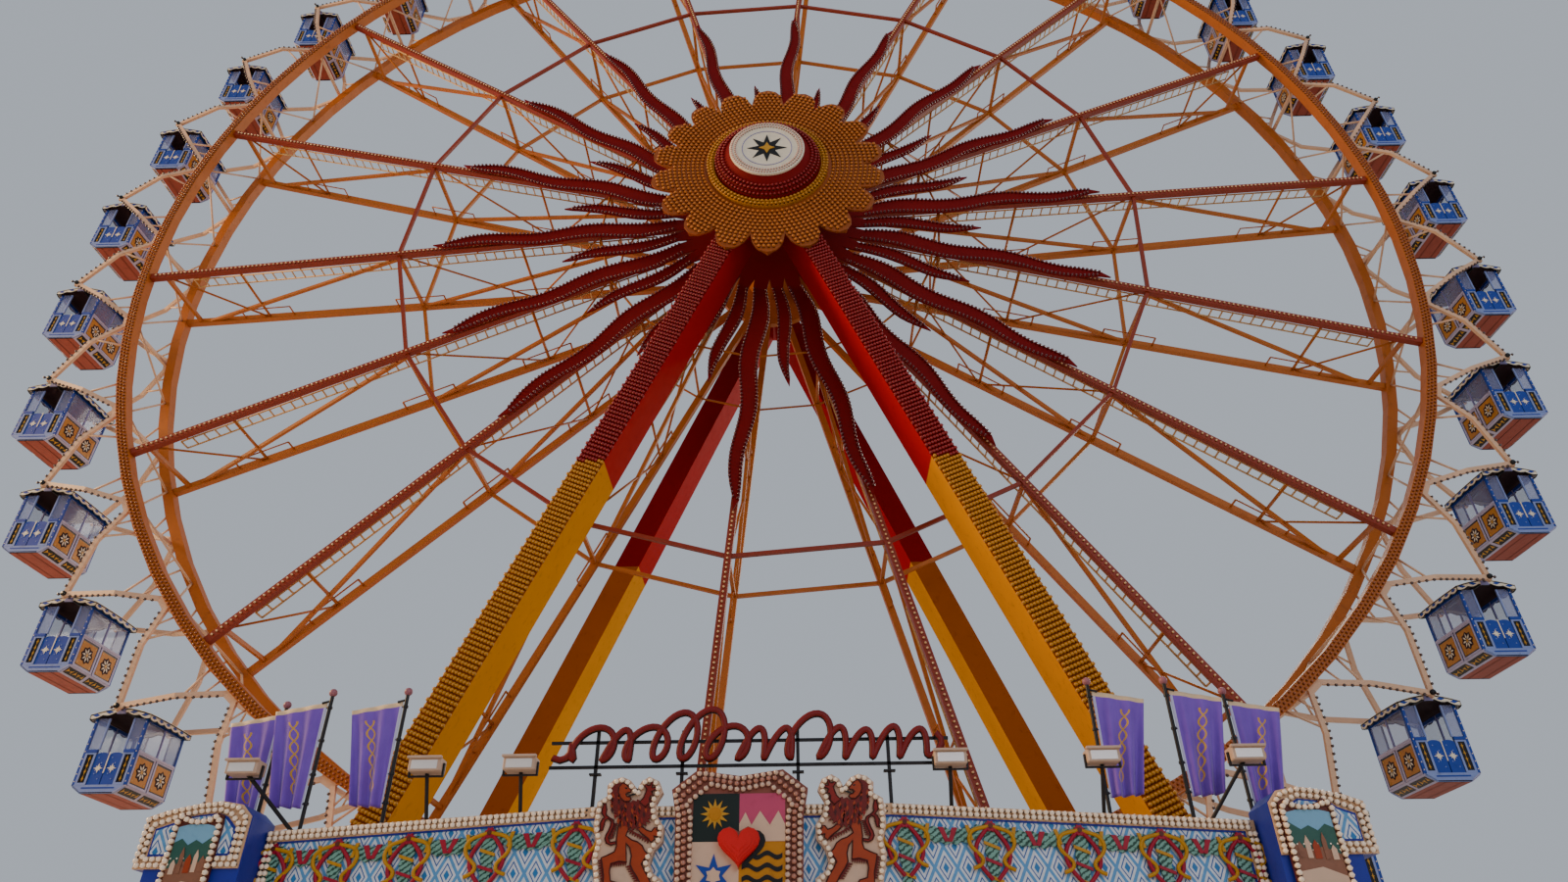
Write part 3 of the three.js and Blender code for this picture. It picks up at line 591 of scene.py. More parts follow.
def dressCabinFront():
    inner = wide - post - narrow
    for hand in (-1, 1):
        x0, x1 = sided(hand, wide, wide - post)
        cabinBlock((x0, -deep, deck), (x1, -deep + post, eave), cabinBlue)
        x0, x1 = sided(hand, wide - post, inner)
        cabinBlock((x0, -deep + 0.015, deck), (x1, -deep + 0.05, sill), blackGloss, 0)
        framePlates(x0, x1, deck + 0.02, sill - 0.02, 0.05, 0.03, paleFrame, deep + 0.004)
        goldColumn((x0 + x1) / 2, deck + 0.1, sill - 0.1, deep - 0.009)
        cabinBlock(
            (x0 - 0.01, -deep - 0.02, sill - 0.03), (x1 + 0.01, -deep + 0.06, sill + 0.05), cabinBlue
        )
        jamb = sided(hand, inner, inner - 0.045)
        cabinBlock((jamb[0], -deep, sill + 0.05), (jamb[1], -deep + 0.05, eave), paleFrame)
        cabinBlock((x0, -deep + 0.02, sill + 0.05), (x1, -deep + 0.028, eave), paneAcrylic, 0)
        studs = 9
        for n in range(studs):
            z = deck + 0.1 + n * (eave - deck - 0.2) / (studs - 1)
            cabinPlate(
                starPoints(hand * (wide - post / 2), z, 0.022, 0.009, 4), 0.006, ivoryPaint, deep + 0.004
            )
    leaf = inner / 2
    for hand in (-1, 1):
        middle = hand * leaf
        door = [(middle - leaf + 0.012, deck + 0.02), (middle + leaf - 0.012, deck + 0.02)]
        for n in range(7):
            angle = math.pi * n / 6
            door.append((middle + (leaf - 0.012) * math.cos(angle), sill - 0.09 + 0.07 * math.sin(angle)))
        cabinPlate(door, 0.035, cabinBlue, deep - 0.01)
        cabinPlate(starPoints(middle, deck + 0.42, 0.12, 0.035, 4, quarterTurn), 0.012, ivoryPaint, deep)
        cabinPlate(
            starPoints(middle, deck + 0.42, 0.085, 0.03, 4, math.pi / 4), 0.01, ivoryPaint, deep - 0.003
        )
        for n in range(5):
            dot = starPoints(middle + 0.07 * math.cos(2.4 * n), deck + 0.16 + 0.13 * n, 0.02, 0.01, 4)
            cabinPlate(dot, 0.008, paleFrame, deep - 0.004)
    cabinBlock((-0.012, -deep - 0.004, deck + 0.3), (0.012, -deep + 0.01, sill - 0.02), ivoryPaint, 0)
    x = wide - slope
    right = [(x, keel), (wide - 0.05, deck - 0.05), (wide, deck + 0.02)]
    cabinPlate([(-a, b) for a, b in right[::-1]] + right, 0.05, paleFrame, deep)
    cabinBlock((-x, -deep - 0.006, deck - 0.075), (x, -deep + 0.01, deck - 0.04), cabinBlue, 0)


def dressCabinSide():  # drawn facing the viewer and turned to face +X
    height, tall = (deck + sill) / 2, (sill - deck) / 2 - 0.1
    for x0, x1 in ((-deep + 0.05, -0.025), (0.025, deep - 0.05)):
        middle, half = (x0 + x1) / 2, (x1 - x0) / 2 - 0.085

        def sidePlate(points, thick, material, front):
            cabinPlate(points, thick, material, wide + front, quarterTurn)

        sidePlate(rectangle(x0, x1, deck, sill), 0.03, blackGloss, -0.016)
        sidePlate(
            rectangle(middle - half, middle + half, height - tall, height + tall), 0.012, amberPanel, -0.01
        )
        framePlates(x0, x1, deck + 0.01, sill, 0.055, 0.034, sideFrame, wide + 0.004, quarterTurn)
        sidePlate(starPoints(middle, height, 0.24, 0.19, 8), 0.01, maroonInside, -0.005)
        for k in range(8):
            angle = math.pi * k / 4
            sidePlate([
                (middle + r * math.cos(angle + t), height + r * math.sin(angle + t))
                for r, t in ((0.045, 0), (0.11, 0.24), (0.19, 0), (0.11, -0.24))
            ], 0.014, ivoryPaint, -0.001)
        sidePlate(starPoints(middle, height, 0.05, 0.038, 6), 0.02, goldPaint, 0.003)
        for dx in (-1, 1):
            for dz in (-1, 1):
                x, z = middle + dx * (half - 0.05), height + dz * (tall - 0.05)
                sidePlate(starPoints(x, z, 0.05, 0.02, 3, math.atan2(-dz, -dx)), 0.01, goldPaint, -0.004)
        cabinBlock((wide - 0.028, x0, sill + 0.05), (wide - 0.02, x1, eave), paneAcrylic, 0)
    cabinBlock((wide - 0.05, -0.022, sill), (wide, 0.022, eave), lilacMullion)
    cabinBlock(
        (wide - 0.055, -deep + 0.05, sill - 0.02), (wide + 0.02, deep - 0.05, sill + 0.045), sideFrame
    )
    cabinBlock((wide - 0.04, -deep + 0.05, eave - 0.08), (wide + 0.005, deep - 0.05, eave), cabinBlue, 0)
    # sloping strip under the side panels
    slopeLength, tilt = math.hypot(slope, deck - keel), math.atan2(slope, deck - keel)
    strip = [addPlate(rectangle(-deep, deep, -slopeLength, 0), 0.03, sideFrame, 0.0)]
    for x0 in (-deep + 0.07, 0.04):
        x1 = x0 + deep - 0.11
        low = -slopeLength + 0.06
        strip.append(addPlate(
            [(x0 + 0.04, low), (x1, low), (x1 - 0.04, -0.06), (x0, -0.06)], 0.012, blackGloss, 0.008
        ))
        for n in range(5):
            x = x0 + 0.09 + n * (x1 - x0 - 0.18) / 4
            strip.append(
                addPlate(starPoints(x, -slopeLength / 2, 0.075, 0.028, 3, n * 0.9), 0.008, goldPaint, 0.012)
            )
    stripPiece = joinParts(strip, "strip")
    foot = Matrix.Translation((0, -wide * metre, deck * metre))
    stripPiece.data.transform(Matrix.Rotation(quarterTurn, 4, "Z") @ foot @ Matrix.Rotation(tilt, 4, "X"))
    cabinParts.append(stripPiece)


def canopyHeight(across, along):
    # low tent with its ridge at the pivot line, higher in the middle of each side
    return 0.05 - 0.17 * (abs(across) ** 1.5) - 0.02 * (abs(along) ** 2)


def makeCanopy():
    rows = 9
    shares = [-1 + 2 * i / (rows - 1) for i in range(rows)]
    points = [
        (across * roofWide * metre, along * roofDeep * metre, (canopyHeight(across, along) + level) * metre)
        for level in (0.0, -0.03) for across in shares for along in shares
    ]
    size = rows * rows
    last = rows - 1
    faces = []
    for i in range(last):
        for j in range(last):
            a, b = i * rows + j, (i + 1) * rows + j
            faces += [(a, b, b + 1, a + 1), (size + a + 1, size + b + 1, size + b, size + a)]
    edge = [i * rows for i in range(rows)] + [last * rows + j for j in range(1, rows)]
    edge += [i * rows + last for i in range(last - 1, -1, -1)] + list(range(last - 1, 0, -1))
    faces += [(b, a, size + a, size + b) for a, b in zip(edge, edge[1:] + edge[:1])]
    canopy = paint(newMesh("canopy", points, [], faces), ivoryPaint, maroonInside)
    for face in canopy.data.polygons:
        face.material_index = 1 if face.normal.z < -0.5 else 0
    bpy.ops.object.shade_smooth_by_angle(angle=math.radians(30))
    cabinParts.append(canopy)


def makeValance(length, fixed, turn, rise):
    # scalloped board along one edge of the canopy: white, with a blue lozenge on every scallop
    scallops = round(2 * length / 0.32)
    step = 2 * length / scallops
    top, bottom = [], []
    for n in range(scallops * 4 + 1):
        x = -length + n * step / 4
        height = canopyHeight(*rise(x / length)) + 0.012
        top.append((x, height))
        bottom.append((x, height - 0.105 - 0.045 * abs(math.sin(math.pi * n / 4))))
    cabinPlate(bottom + top[::-1], 0.025, ivoryPaint, fixed, turn)
    shadow = [(x, z - 0.022) for x, z in bottom] + [(x, z + 0.001) for x, z in bottom[::-1]]
    cabinPlate(shadow, 0.02, blackGloss, fixed - 0.003, turn)
    for n in range(scallops):
        x = -length + (n + 0.5) * step
        z = canopyHeight(*rise(x / length)) - 0.06
        diamond = [(x - 0.1, z), (x, z - 0.042), (x + 0.1, z), (x, z + 0.042)]
        cabinPlate(diamond, 0.008, cabinBlue, fixed + 0.005, turn)


dressCabinFront()
dressCabinSide()
makeValance(roofWide, roofDeep, 0.0, lambda share: (share, 1))
makeValance(roofDeep, roofWide, quarterTurn, lambda share: (1, share))
cabinPlate(
    [(-0.11, -0.12), (0.11, -0.12), (0.06, 0.06), (-0.06, 0.06)], 0.05, lilacMullion, roofDeep + 0.03
)
halfCabin = joinParts(cabinParts, "halfCabin")
otherHalf = newObject("otherHalf", halfCabin.data.copy())
otherHalf.data.transform(Matrix.Rotation(math.pi, 4, "Z"))
cabinParts = [halfCabin, otherHalf]
makeCanopy()
cabinBlock((-wide + 0.02, -deep + 0.04, deck), (wide - 0.02, deep - 0.04, deck + 0.03), maroonInside, 0)
cabinBlock((-wide + slope, -deep, keel), (wide - slope, deep, keel + 0.04), undersideRed)
for hand in (-1, 1):
    low, high = (hand * 0.2 - 0.012, -deep + 0.02, keel), (hand * 0.2 + 0.012, deep - 0.02, keel + 0.045)
    cabinBlock(low, high, undersideRed, 0)
    x0, x1 = sided(hand, wide - 0.04, wide - 0.36)
    cabinBlock((x0, -deep + 0.3, deck + 0.36), (x1, deep - 0.3, deck + 0.42), maroonInside)
    cabinBlock((x0 + 0.1, -deep + 0.3, deck + 0.03), (x1 - 0.1, deep - 0.3, deck + 0.36), maroonInside, 0)
    x0, x1 = sided(hand, wide - 0.03, wide - 0.055)
    cabinBlock((x0, -deep + 0.05, deck), (x1, deep - 0.05, sill), maroonInside, 0)
pinReach = 1.128
cabinParts.append(addRod((0, -pinReach, 0), (0, pinReach, 0), 0.045, blackGloss, 10))
cabinTemplate = joinParts(cabinParts, "cabinTemplate")
for name, pivot in pivots.items():
    cabin = newObject(name + "_dressed", cabinTemplate.data.copy())
    cabin.data.transform(Matrix.Translation(pivot))
    mountOn(cabin, name + "_body", "cabin_paint", name)
selectOnly(cabinTemplate)
bpy.ops.object.delete()
print("cabins made")


# Wheel dressing: everything here turns with the wheel
def wheelPoint(radius, angle, y):
    return hub + Vector((radius * math.cos(angle), 0, radius * math.sin(angle))) + Vector((0, y, 0))


rimLow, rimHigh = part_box("front_rim")
rimOuter = (rimHigh.x - rimLow.x) / 2 / metre
rimRadius, rimFront = rimOuter - 0.15, rimLow.y / metre
ringOffset, hubOffset = 1.18, 1.5  # how far the rings and the hub's flanges lie from the middle plane
chordStart, chordEnd = 1.6, rimOuter - 0.3


def chordOffset(radius):  # how far a spoke's front chord lies from the middle plane
    share = (radius - chordStart) / (chordEnd - chordStart)
    return hubOffset + (ringOffset - hubOffset) * share


rimLamps = []
rimRowCount, rimRowGap = 1000, 0.095
for row in (-rimRowGap, 0.0, rimRowGap):
    for n in range(rimRowCount):
        angle = 2 * math.pi * (n + (0.5 if row == 0 else 0)) / rimRowCount
        rimLamps.append(facing(wheelPoint(rimRadius + row, angle, rimFront), towardViewer))
stampLamps(0.038, rimBulb, lampShadowDark, rimLamps, "front_rim_lamps", "wheel", "rim_paint")

chordRow = {"count": 83, "start": 9.2, "pitch": 0.14, "half": 0.1}
chordLamps = []
for angle in spokeAngles:
    for n in range(chordRow["count"]):
        radius = chordRow["start"] + chordRow["pitch"] * n
        place = wheelPoint(radius, angle, -chordOffset(radius) - chordRow["half"])
        chordLamps.append(facing(place, towardViewer))
stampLamps(0.036, chordBulb, lampShadowDark, chordLamps, "front_spoke_lamps", "wheel", "spoke_paint")
print("rim and spoke lamps made")

# Flames: long and short in turn, each a wavy blade with a lamp-lined edge
flameKinds = ({"tip": 11.35, "widest": 0.32}, {"tip": 7.1, "widest": 0.25})
flameFoot, flameStep, flameThick = 3.2, 0.26, 0.06
flameRoot, waveLength, waveDepth = 3.4, 3.6, 0.09
flameFront = 1.6 + 0.0008 + flameThick  # just clear of the spokes' front faces


def flameHalf(radius, tip, widest):
    share = min(1.0, max(0.0, (radius - flameRoot) / (tip - flameRoot)))
    neck = 0.7 + 0.3 * min(1.0, max(0.0, radius - 3.3) / 1.3)
    return widest * neck * (1 - 0.5 * share ** 1.5) * min(1.0, (tip - radius) / 1.0) ** 0.6


def flameWave(radius):
    return waveDepth * math.sin(2 * math.pi * (radius - flameRoot) / waveLength)


flameLamps, flameBlades = [], []
for k in range(2 * spokeCount):
    turn = spokeAngles[0] + math.pi * k / spokeCount
    tip = flameKinds[k % 2]["tip"]
    stations = [flameFoot + flameStep * n for n in range(round((tip - flameFoot) / flameStep))]
    halves = [flameHalf(radius, **flameKinds[k % 2]) for radius in stations]
    right = [(radius, flameWave(radius) - half) for radius, half in zip(stations, halves)]
    left = [(radius, flameWave(radius) + half) for radius, half in zip(stations, halves)][::-1]

    def flamePoint(radius, side, turn=turn):
        return hub + Vector((
            radius * math.cos(turn) - side * math.sin(turn), -flameFront,
            radius * math.sin(turn) + side * math.cos(turn),
        ))

    def rootPoint(radius, hand):
        return flamePoint(radius * math.cos(math.radians(5)), hand * radius * math.sin(math.radians(5)))

    blade = [rootPoint(1.3, -1), rootPoint(2.75, -1)]
    blade += [flamePoint(radius, side) for radius, side in right + [(tip, 0)] + left]
    blade += [rootPoint(2.75, 1), rootPoint(1.3, 1)]
    flameBlades.append(
        addPlate([(point.x, point.z) for point in blade], flameThick, flameEnamel, flameFront)
    )
    for edge in (right, left):
        for (r0, s0), (r1, s1) in zip(edge, edge[1:]):
            for share in (0.15, 0.65):
                radius, side = r0 + (r1 - r0) * share, s0 + (s1 - s0) * share
                side -= math.copysign(0.035, side - flameWave(radius))
                flameLamps.append(facing(flamePoint(radius, side), towardViewer))
mountOn(joinParts(flameBlades, "flame_plate"), "wheel", "flame_paint", "flames")
half = len(flameLamps) // 2
stampLamps(0.05, maroonBulb, None, flameLamps[:half], "flame_lamps_a", "wheel", "flame_paint")
stampLamps(0.05, maroonBulb, None, flameLamps[half:], "flame_lamps_b", "wheel", "flame_paint")
print("flames made with", len(flameLamps), "lamps")


# Finer bracing of one spoke, laid along +X from the hub, then stamped at every spoke
def makeSpokeBracing():
    parts = []

    def strut(r0, y0, r1, y1, radius):
        parts.append(addRod((r0, y0, 0), (r1, y1, 0), radius, spokeEnamel, 4))

    for radius in (5.8, 8.5, 18.0):
        strut(radius, -chordOffset(radius), radius, chordOffset(radius), 0.05)
    for r0, side, r1, thick in ((8.5, 1, 12.6, 0.045), (5.8, -1, 8.5, 0.04), (18.0, 1, 20.4, 0.045)):
        strut(r0, side * chordOffset(r0), r1, -side * chordOffset(r1), thick)
    for radius in (12.6, 18.0, 8.5):
        for hand in (-1, 1):
            end = radius + hand * 0.85
            inner = chordOffset(radius) - 0.5
            strut(end, chordOffset(end), end, inner, 0.03)
            strut(end, inner, radius, inner, 0.03)
    return joinParts(parts, "spokeBracing")


def makeSpokeLadder():
    parts = []
    # the ladder's ends, and its rails' depth behind the chord
    start, end, near, far = 3.9, 19.6, 0.26, 0.62

    def rail(r0, depth0, r1, depth1, radius, material):
        ends = [(r, depth - chordOffset(r), 0) for r, depth in ((r0, depth0), (r1, depth1))]
        parts.append(addRod(*ends, radius, material, 4))

    for depth in (near, far):
        rail(start, depth, end, depth, 0.036, ladderEnamel)
    rungs = round((end - start) / 0.33)
    for n in range(rungs + 1):
        radius = start + (end - start) * n / rungs
        rail(radius, near, radius, far, 0.028, ladderEnamel)
    for radius in (4.0, 7.0, 10.0, 13.0, 16.0, 19.4):
        rail(radius, 0.0, radius, near, 0.028, spokeEnamel)
    return joinParts(parts, "spokeLadder")


spokeTurns = [aroundHub(angle) for angle in spokeAngles]
mountOn(stampCopies(makeSpokeBracing(), spokeTurns, "spoke_bracing"), "wheel", "spoke_paint")
mountOn(stampCopies(makeSpokeLadder(), spokeTurns, "spoke_ladders"), "wheel", "spoke_paint")

tieRadius = 5.8
innerTies = []
for side in (-1, 1):
    for angle, after in zip(spokeAngles, spokeAngles[1:] + spokeAngles[:1]):
        ends = [wheelPoint(tieRadius, turn, side * chordOffset(tieRadius)) for turn in (angle, after)]
        innerTies.append(addRod(*ends, 0.04, spokeEnamel, 4))
mountOn(joinParts(innerTies, "inner_ties"), "wheel", "spoke_paint")
print("spoke bracing made")

# Struts and lamps of one cabin's arms, laid for a pivot on +X, then stamped at every pivot
armShape = {"foot": 21.282, "turn": math.radians(4.5), "elbow": 0.42, "bow": 0.26}


def onArc(radius, y, degreesX, degreesZ, hand):  # a point beside +X, at an angle for each axis
    return Vector(
        (radius * math.cos(math.radians(degreesX)), y, hand * radius * math.sin(math.radians(degreesZ)))
    )


def armPoint(share, hand, side):  # share runs from the foot to the pivot
    turn, elbow = armShape["turn"], armShape["elbow"]
    foot = Vector(
        (armShape["foot"] * math.cos(turn), side * ringOffset, hand * armShape["foot"] * math.sin(turn))
    )
    place = foot.lerp(Vector((pivotRadius, side * ringOffset, 0)), share)
    place.y += side * armShape["bow"] * (share / elbow if share < elbow else (1 - share) / (1 - elbow))
    return place


def makeArmStruts():
    parts = []
    strutFoot = rimOuter + 0.01
    for side in (-1, 1):
        for hand in (-1, 1):
            for share, degreesX, degreesZ, radius in ((0.36, 2.1, 2.1, 0.035), (0.2, 4.6, 3.4, 0.03)):
                foot = onArc(strutFoot, side * ringOffset, degreesX, degreesZ, hand)
                parts.append(addRod(armPoint(share, hand, side), foot, radius, creamEnamel, 5))
        parts.append(
            addRod((pivotRadius, side * 1.12, 0), (pivotRadius, side * 1.3, 0), 0.066, blackGloss, 10)
        )
    for hand in (-1, 1):
        parts.append(addRod(onArc(rimRadius, -1.0, 5, 5, hand), (rimRadius, 1.0, 0), 0.035, creamEnamel, 5))
    return joinParts(parts, "armStruts")


cabinCount = len(pivots)
cabinTurns = [aroundHub(firstSpoke + 2 * math.pi * k / cabinCount) for k in range(cabinCount)]
mountOn(stampCopies(makeArmStruts(), cabinTurns, "arm_struts"), "wheel", "arm_paint")
armRow = {"count": 14, "start": 0.06, "pitch": 0.066, "proud": 0.05}
armLamps = []
for hand in (-1, 1):
    outward = Vector((0.62, -0.5, hand * 0.6))
    for n in range(armRow["count"]):
        place = armPoint(armRow["start"] + armRow["pitch"] * n, hand, -1)
        armLamps.append(facing(place + outward * armRow["proud"], outward))
armLamps.append(facing((pivotRadius + 0.06, -1.3, 0), (0.8, -0.6, 0)))
allArmLamps = [turn @ place for turn in cabinTurns for place in armLamps]
stampLamps(0.046, smokedBulb, None, allArmLamps, "arm_lamps", "wheel", "arm_paint")
print("arms dressed")

# Sun: a face of fuller, rounder petals lies on the disc and carries the lamps
sunPetal = ((0, 3.75), (4, 3.68), (7, 3.5), (9, 3.25), (10, 3.05))  # degrees from a petal's middle, radius
sunFront = -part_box("sun_disc")[0].y / metre + 0.02


def discPoint(radius, angle, front):
    return Vector((hub.x + radius * math.cos(angle), -front, hub.z + radius * math.sin(angle)))


def discPlate(points, thick, material, front):  # a plate drawn about the wheel's centre
    return addPlate([(hub.x + x, hub.z + z) for x, z in points], thick, material, front)


def discLamps(radius, pitch, front, edge=lambda angle: True):  # a ring of lamps at an even pitch
    count = round(2 * math.pi * radius / pitch)
    angles = [2 * math.pi * n / count for n in range(count)]
    return [facing(discPoint(radius, angle, front), towardViewer) for angle in angles if edge(angle)]


def petalEdge(angle):
    turn = abs((math.degrees(angle) - 90 + 10) % 20 - 10)
    for (t0, r0), (t1, r1) in zip(sunPetal, sunPetal[1:]):
        if turn <= t1:
            return r0 + (r1 - r0) * (turn - t0) / (t1 - t0)
    return sunPetal[-1][1]


sunEdge = [discPoint(petalEdge(math.radians(n)), math.radians(n), sunFront) for n in range(0, 360, 2)]
sunFace = addPlate([(point.x, point.z) for point in sunEdge], 0.05, sunDark, sunFront)
mountOn(joinParts([sunFace], "sun_face"), "support", "sun_paint")
sunRows = {"inner": 2.1, "outer": 3.7, "pitch": 0.15, "step": 0.145, "margin": 0.07}
sunLamps = []
ring = sunRows["inner"]
while ring < sunRows["outer"]:
    sunLamps += discLamps(
        ring, sunRows["pitch"], sunFront, lambda angle: ring < petalEdge(angle) - sunRows["margin"]
    )
    ring += sunRows["step"]
stampLamps(0.054, sunBulb, lampShadowDark, sunLamps, "sun_lamps", "support", "sun_paint")

# Boss: turned rings about the wheel's axis, with rows of lamps and a plain compass star
bossRear = -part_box("sun_boss")[1].y / metre  # its back face; depths run from here towards the viewer
bossRings = (
    (goldenEnamel, ((0.02, 0.0), (1.93, 0.0), (1.93, 0.12), (1.88, 0.18), (1.72, 0.18), (1.68, 0.1))),
    (flameEnamel, (
        (1.7, 0.1), (1.68, 0.2), (1.56, 0.4), (1.48, 0.44), (1.36, 0.48), (1.2, 0.66), (1.1, 0.68)
    )),
    (ivoryPaint, ((1.08, 0.6), (1.18, 0.62), (1.18, 0.735), (1.14, 0.75), (0.9, 0.735), (0.02, 0.735))),
)
bossLampRows = {  # glass, globe radius and rows of radius, depth and pitch
    "yellow": (yellowBulb, 0.05, ((1.9, 0.17, 0.13), (1.79, 0.18, 0.13))),
    "red": (redBulb, 0.05, ((1.63, 0.29, 0.13), (1.54, 0.41, 0.13), (1.42, 0.46, 0.13))),
    "blush": (blushBulb, 0.036, ((1.11, 0.745, 0.09), (1.0, 0.74, 0.09))),
}


def turnedAroundHub(profile, material, sides=64):  # profile pairs are radius and depth
    points = [
        ((hub.x + radius) * metre, -(bossRear + depth) * metre, hub.z * metre) for radius, depth in profile
    ]
    made = newMesh("turned", points, [(n, n + 1) for n in range(len(points) - 1)], [])
    centre = tuple(hub * metre)
    editAll(
        lambda: bpy.ops.mesh.spin(steps=sides, angle=2 * math.pi, center=centre, axis=(0, 1, 0)),
        lambda: bpy.ops.mesh.remove_doubles(threshold=0.0002), pointOut,
    )
    bpy.ops.object.shade_smooth_by_angle(angle=math.radians(30))
    return paint(made, material)


bossParts = [turnedAroundHub(profile, material) for material, profile in bossRings]
for kind, (bulb, size, rows) in bossLampRows.items():
    lamps = [lamp for radius, depth, pitch in rows for lamp in discLamps(radius, pitch, bossRear + depth)]
    stampLamps(size, bulb, lampShadowDark, lamps, "boss_lamps_" + kind, "support", "sun_paint")
emblemFront = bossRear + 0.74
emblemRing = [discPoint(0.78, 2 * math.pi * n / 40, emblemFront) for n in range(40)]
bossParts += [
    discPlate(starPoints(0, 0, 0.62, 0.27, 8, quarterTurn), 0.02, blackGloss, emblemFront + 0.012),
    discPlate(starPoints(0, 0, 0.25, 0.11, 4, quarterTurn), 0.02, goldPaint, emblemFront + 0.03),
    addTube(emblemRing, 0.014, lilacMullion, closed=True, sides=1),
]
mountOn(joinParts(bossParts, "boss_dressed"), "support", "sun_paint", "sun_boss")
print("sun made with", len(sunLamps), "lamps")

# Legs: staggered rows of lamps up the front face, yellow below the bolted joint and red above it
legLamps = {"across": 8, "pitch": 0.128, "stagger": (0.72, 0.28), "low": 4.2, "underHub": 2.4}


def legFrontFace(node):  # the four corners of a leg's front face, read from the node's own points
    points = sorted((vertex.co / metre for vertex in frame["nodes"][node].data.vertices), key=lambda p: p.z)
    corners = []
    for z in (points[0].z, points[-1].z):
        level = [p for p in points if abs(p.z - z) < 0.004]
        front = min(p.y for p in level)
        row = [p for p in level if p.y < front + 0.04]
        corners += [min(row, key=lambda p: p.x), max(row, key=lambda p: p.x)]
    return corners


legPlaces = {"red": [], "yellow": []}
for node in ("front_leg_left", "front_leg_right"):
    lowLeft, lowRight, topLeft, topRight = legFrontFace(node)
    foot, head = (lowLeft + lowRight) / 2, (topLeft + topRight) / 2
    axis = (head - foot).normalized()
    normal = (lowRight - lowLeft).cross(axis).normalized()
    normal = -normal if normal.y > 0 else normal
    across = axis.cross(normal).normalized()
    faceWide = abs((lowRight - lowLeft).dot(across))
    for n in range(int((head - foot).length / legLamps["pitch"])):
        middle = foot + axis * (n + 0.5) * legLamps["pitch"]
        if not legLamps["low"] <= middle.z <= hub.z - legLamps["underHub"]:
            continue
        for m in range(legLamps["across"]):
            place = middle + across * faceWide * (
                (m + legLamps["stagger"][n % 2]) / legLamps["across"] - 0.5
            )
            legPlaces["red" if place.z > legJoint else "yellow"].append(facing(place, normal))
stampLamps(0.056, redBulb, None, legPlaces["red"], "red_leg_lamps", "support", "leg_paint")
stampLamps(0.056, yellowBulb, None, legPlaces["yellow"], "yellow_leg_lamps", "support", "leg_paint")
print("leg lamps made")

# Facade boards follow the fascia: a bow in plan, the top rising from the ends to the middle
boardShift, bowHalf = -0.28, 2.5
boardLow, boardPeak, boardSlope = 3.3, 5.55, 0.045
boardEnd = (8.28, -7.95)
bowEnds = ((boardShift - bowHalf, -8.3), (boardShift + bowHalf, -8.3))
facets = {
    "left": ((-boardEnd[0], boardEnd[1]), bowEnds[0]), "middle": bowEnds, "right": (bowEnds[1], boardEnd)
}
rosettes = {"left": [-8.1, -7.0, -5.79, -4.43, -2.98], "right": [2.42, 3.83, 5.3, 6.65, 7.95]}
# ivory lamps, and small dark dots that paint the shadow between the lamps
facadeLamps = {"ivory": [], "dots": []}


def boardTopAt(x):
    return boardPeak - boardSlope * max(0.0, abs(x - boardShift) - bowHalf)


def bulbRow(points, pitch, shift=0.0):  # places at an even pitch along a polyline of (x, z)
    places = []
    left = shift
    for (xa, za), (xb, zb) in zip(points, points[1:]):
        span = math.hypot(xb - xa, zb - za)
        while left <= span:
            share = left / span if span else 0
            places.append((xa + (xb - xa) * share, za + (zb - za) * share))
            left += pitch
        left -= span
    return places


def layLamps(kind, points, front, place=Matrix.Identity(4)):
    facadeLamps[kind] += [place @ facing((x, -front, z), towardViewer) for x, z in points]


def mirrorX(points, middle):
    return [(2 * middle - x, z) for x, z in points]


def leafSwag(x0, x1, top, sag, thick):  # a hanging rope of leaves with jagged edges
    count = max(6, round((x1 - x0) / 0.09))
    upper, lower = [], []
    for n in range(count + 1):
        share = n / count
        x = x0 + (x1 - x0) * share
        z = top - sag * 4 * share * (1 - share)
        half = thick / 2 * (0.75 + 0.35 * math.sin(math.pi * share))
        spike = 0.028 if n % 2 else -0.012
        upper.append((x, z + half + spike))
        lower.append((x, z - half - spike))
    return lower + upper[::-1]


garlandTop, garlandBoard = 5.0, 5.3  # the garlands are drawn at one height, for a board with this top edge
ribbonCurl = (
    (0.02, 0.0), (0.14, -0.03), (0.3, -0.07), (0.38, -0.18), (0.36, -0.32), (0.25, -0.42), (0.16, -0.5),
    (0.2, -0.62), (0.34, -0.66),
)


def swagBetween(x0, x1):  # one swag with its bow and its two ties
    top, middle = garlandTop, (x0 + x1) / 2
    parts = [
        addPlate(leafSwag(x0 + 0.05, x1 - 0.05, top - 0.02, 0.16, 0.2), 0.035, laurel, 0.06),
        addPlate(leafSwag(x0 + 0.08, x1 - 0.08, top - 0.02, 0.16, 0.08), 0.03, laurel, 0.075),
    ]
    for hand in (-1, 1):
        bow = [
            (middle + hand * a, top + b)
            for a, b in ((-0.01, -0.27), (0.06, -0.27), (0.16, -0.05), (0.07, -0.05))
        ]
        parts.append(addPlate(bow[::hand], 0.03, crimsonRibbon, 0.085))
        tie, lean = middle + hand * (x1 - x0) * 0.27, hand * 0.06
        ends = [
            (tie - 0.03, top - 0.23), (tie + 0.03, top - 0.23), (tie + 0.03 - lean, top),
            (tie - 0.03 - lean, top),
        ]
        parts.append(addPlate(ends, 0.03, yellowRibbon, 0.085))
    return parts


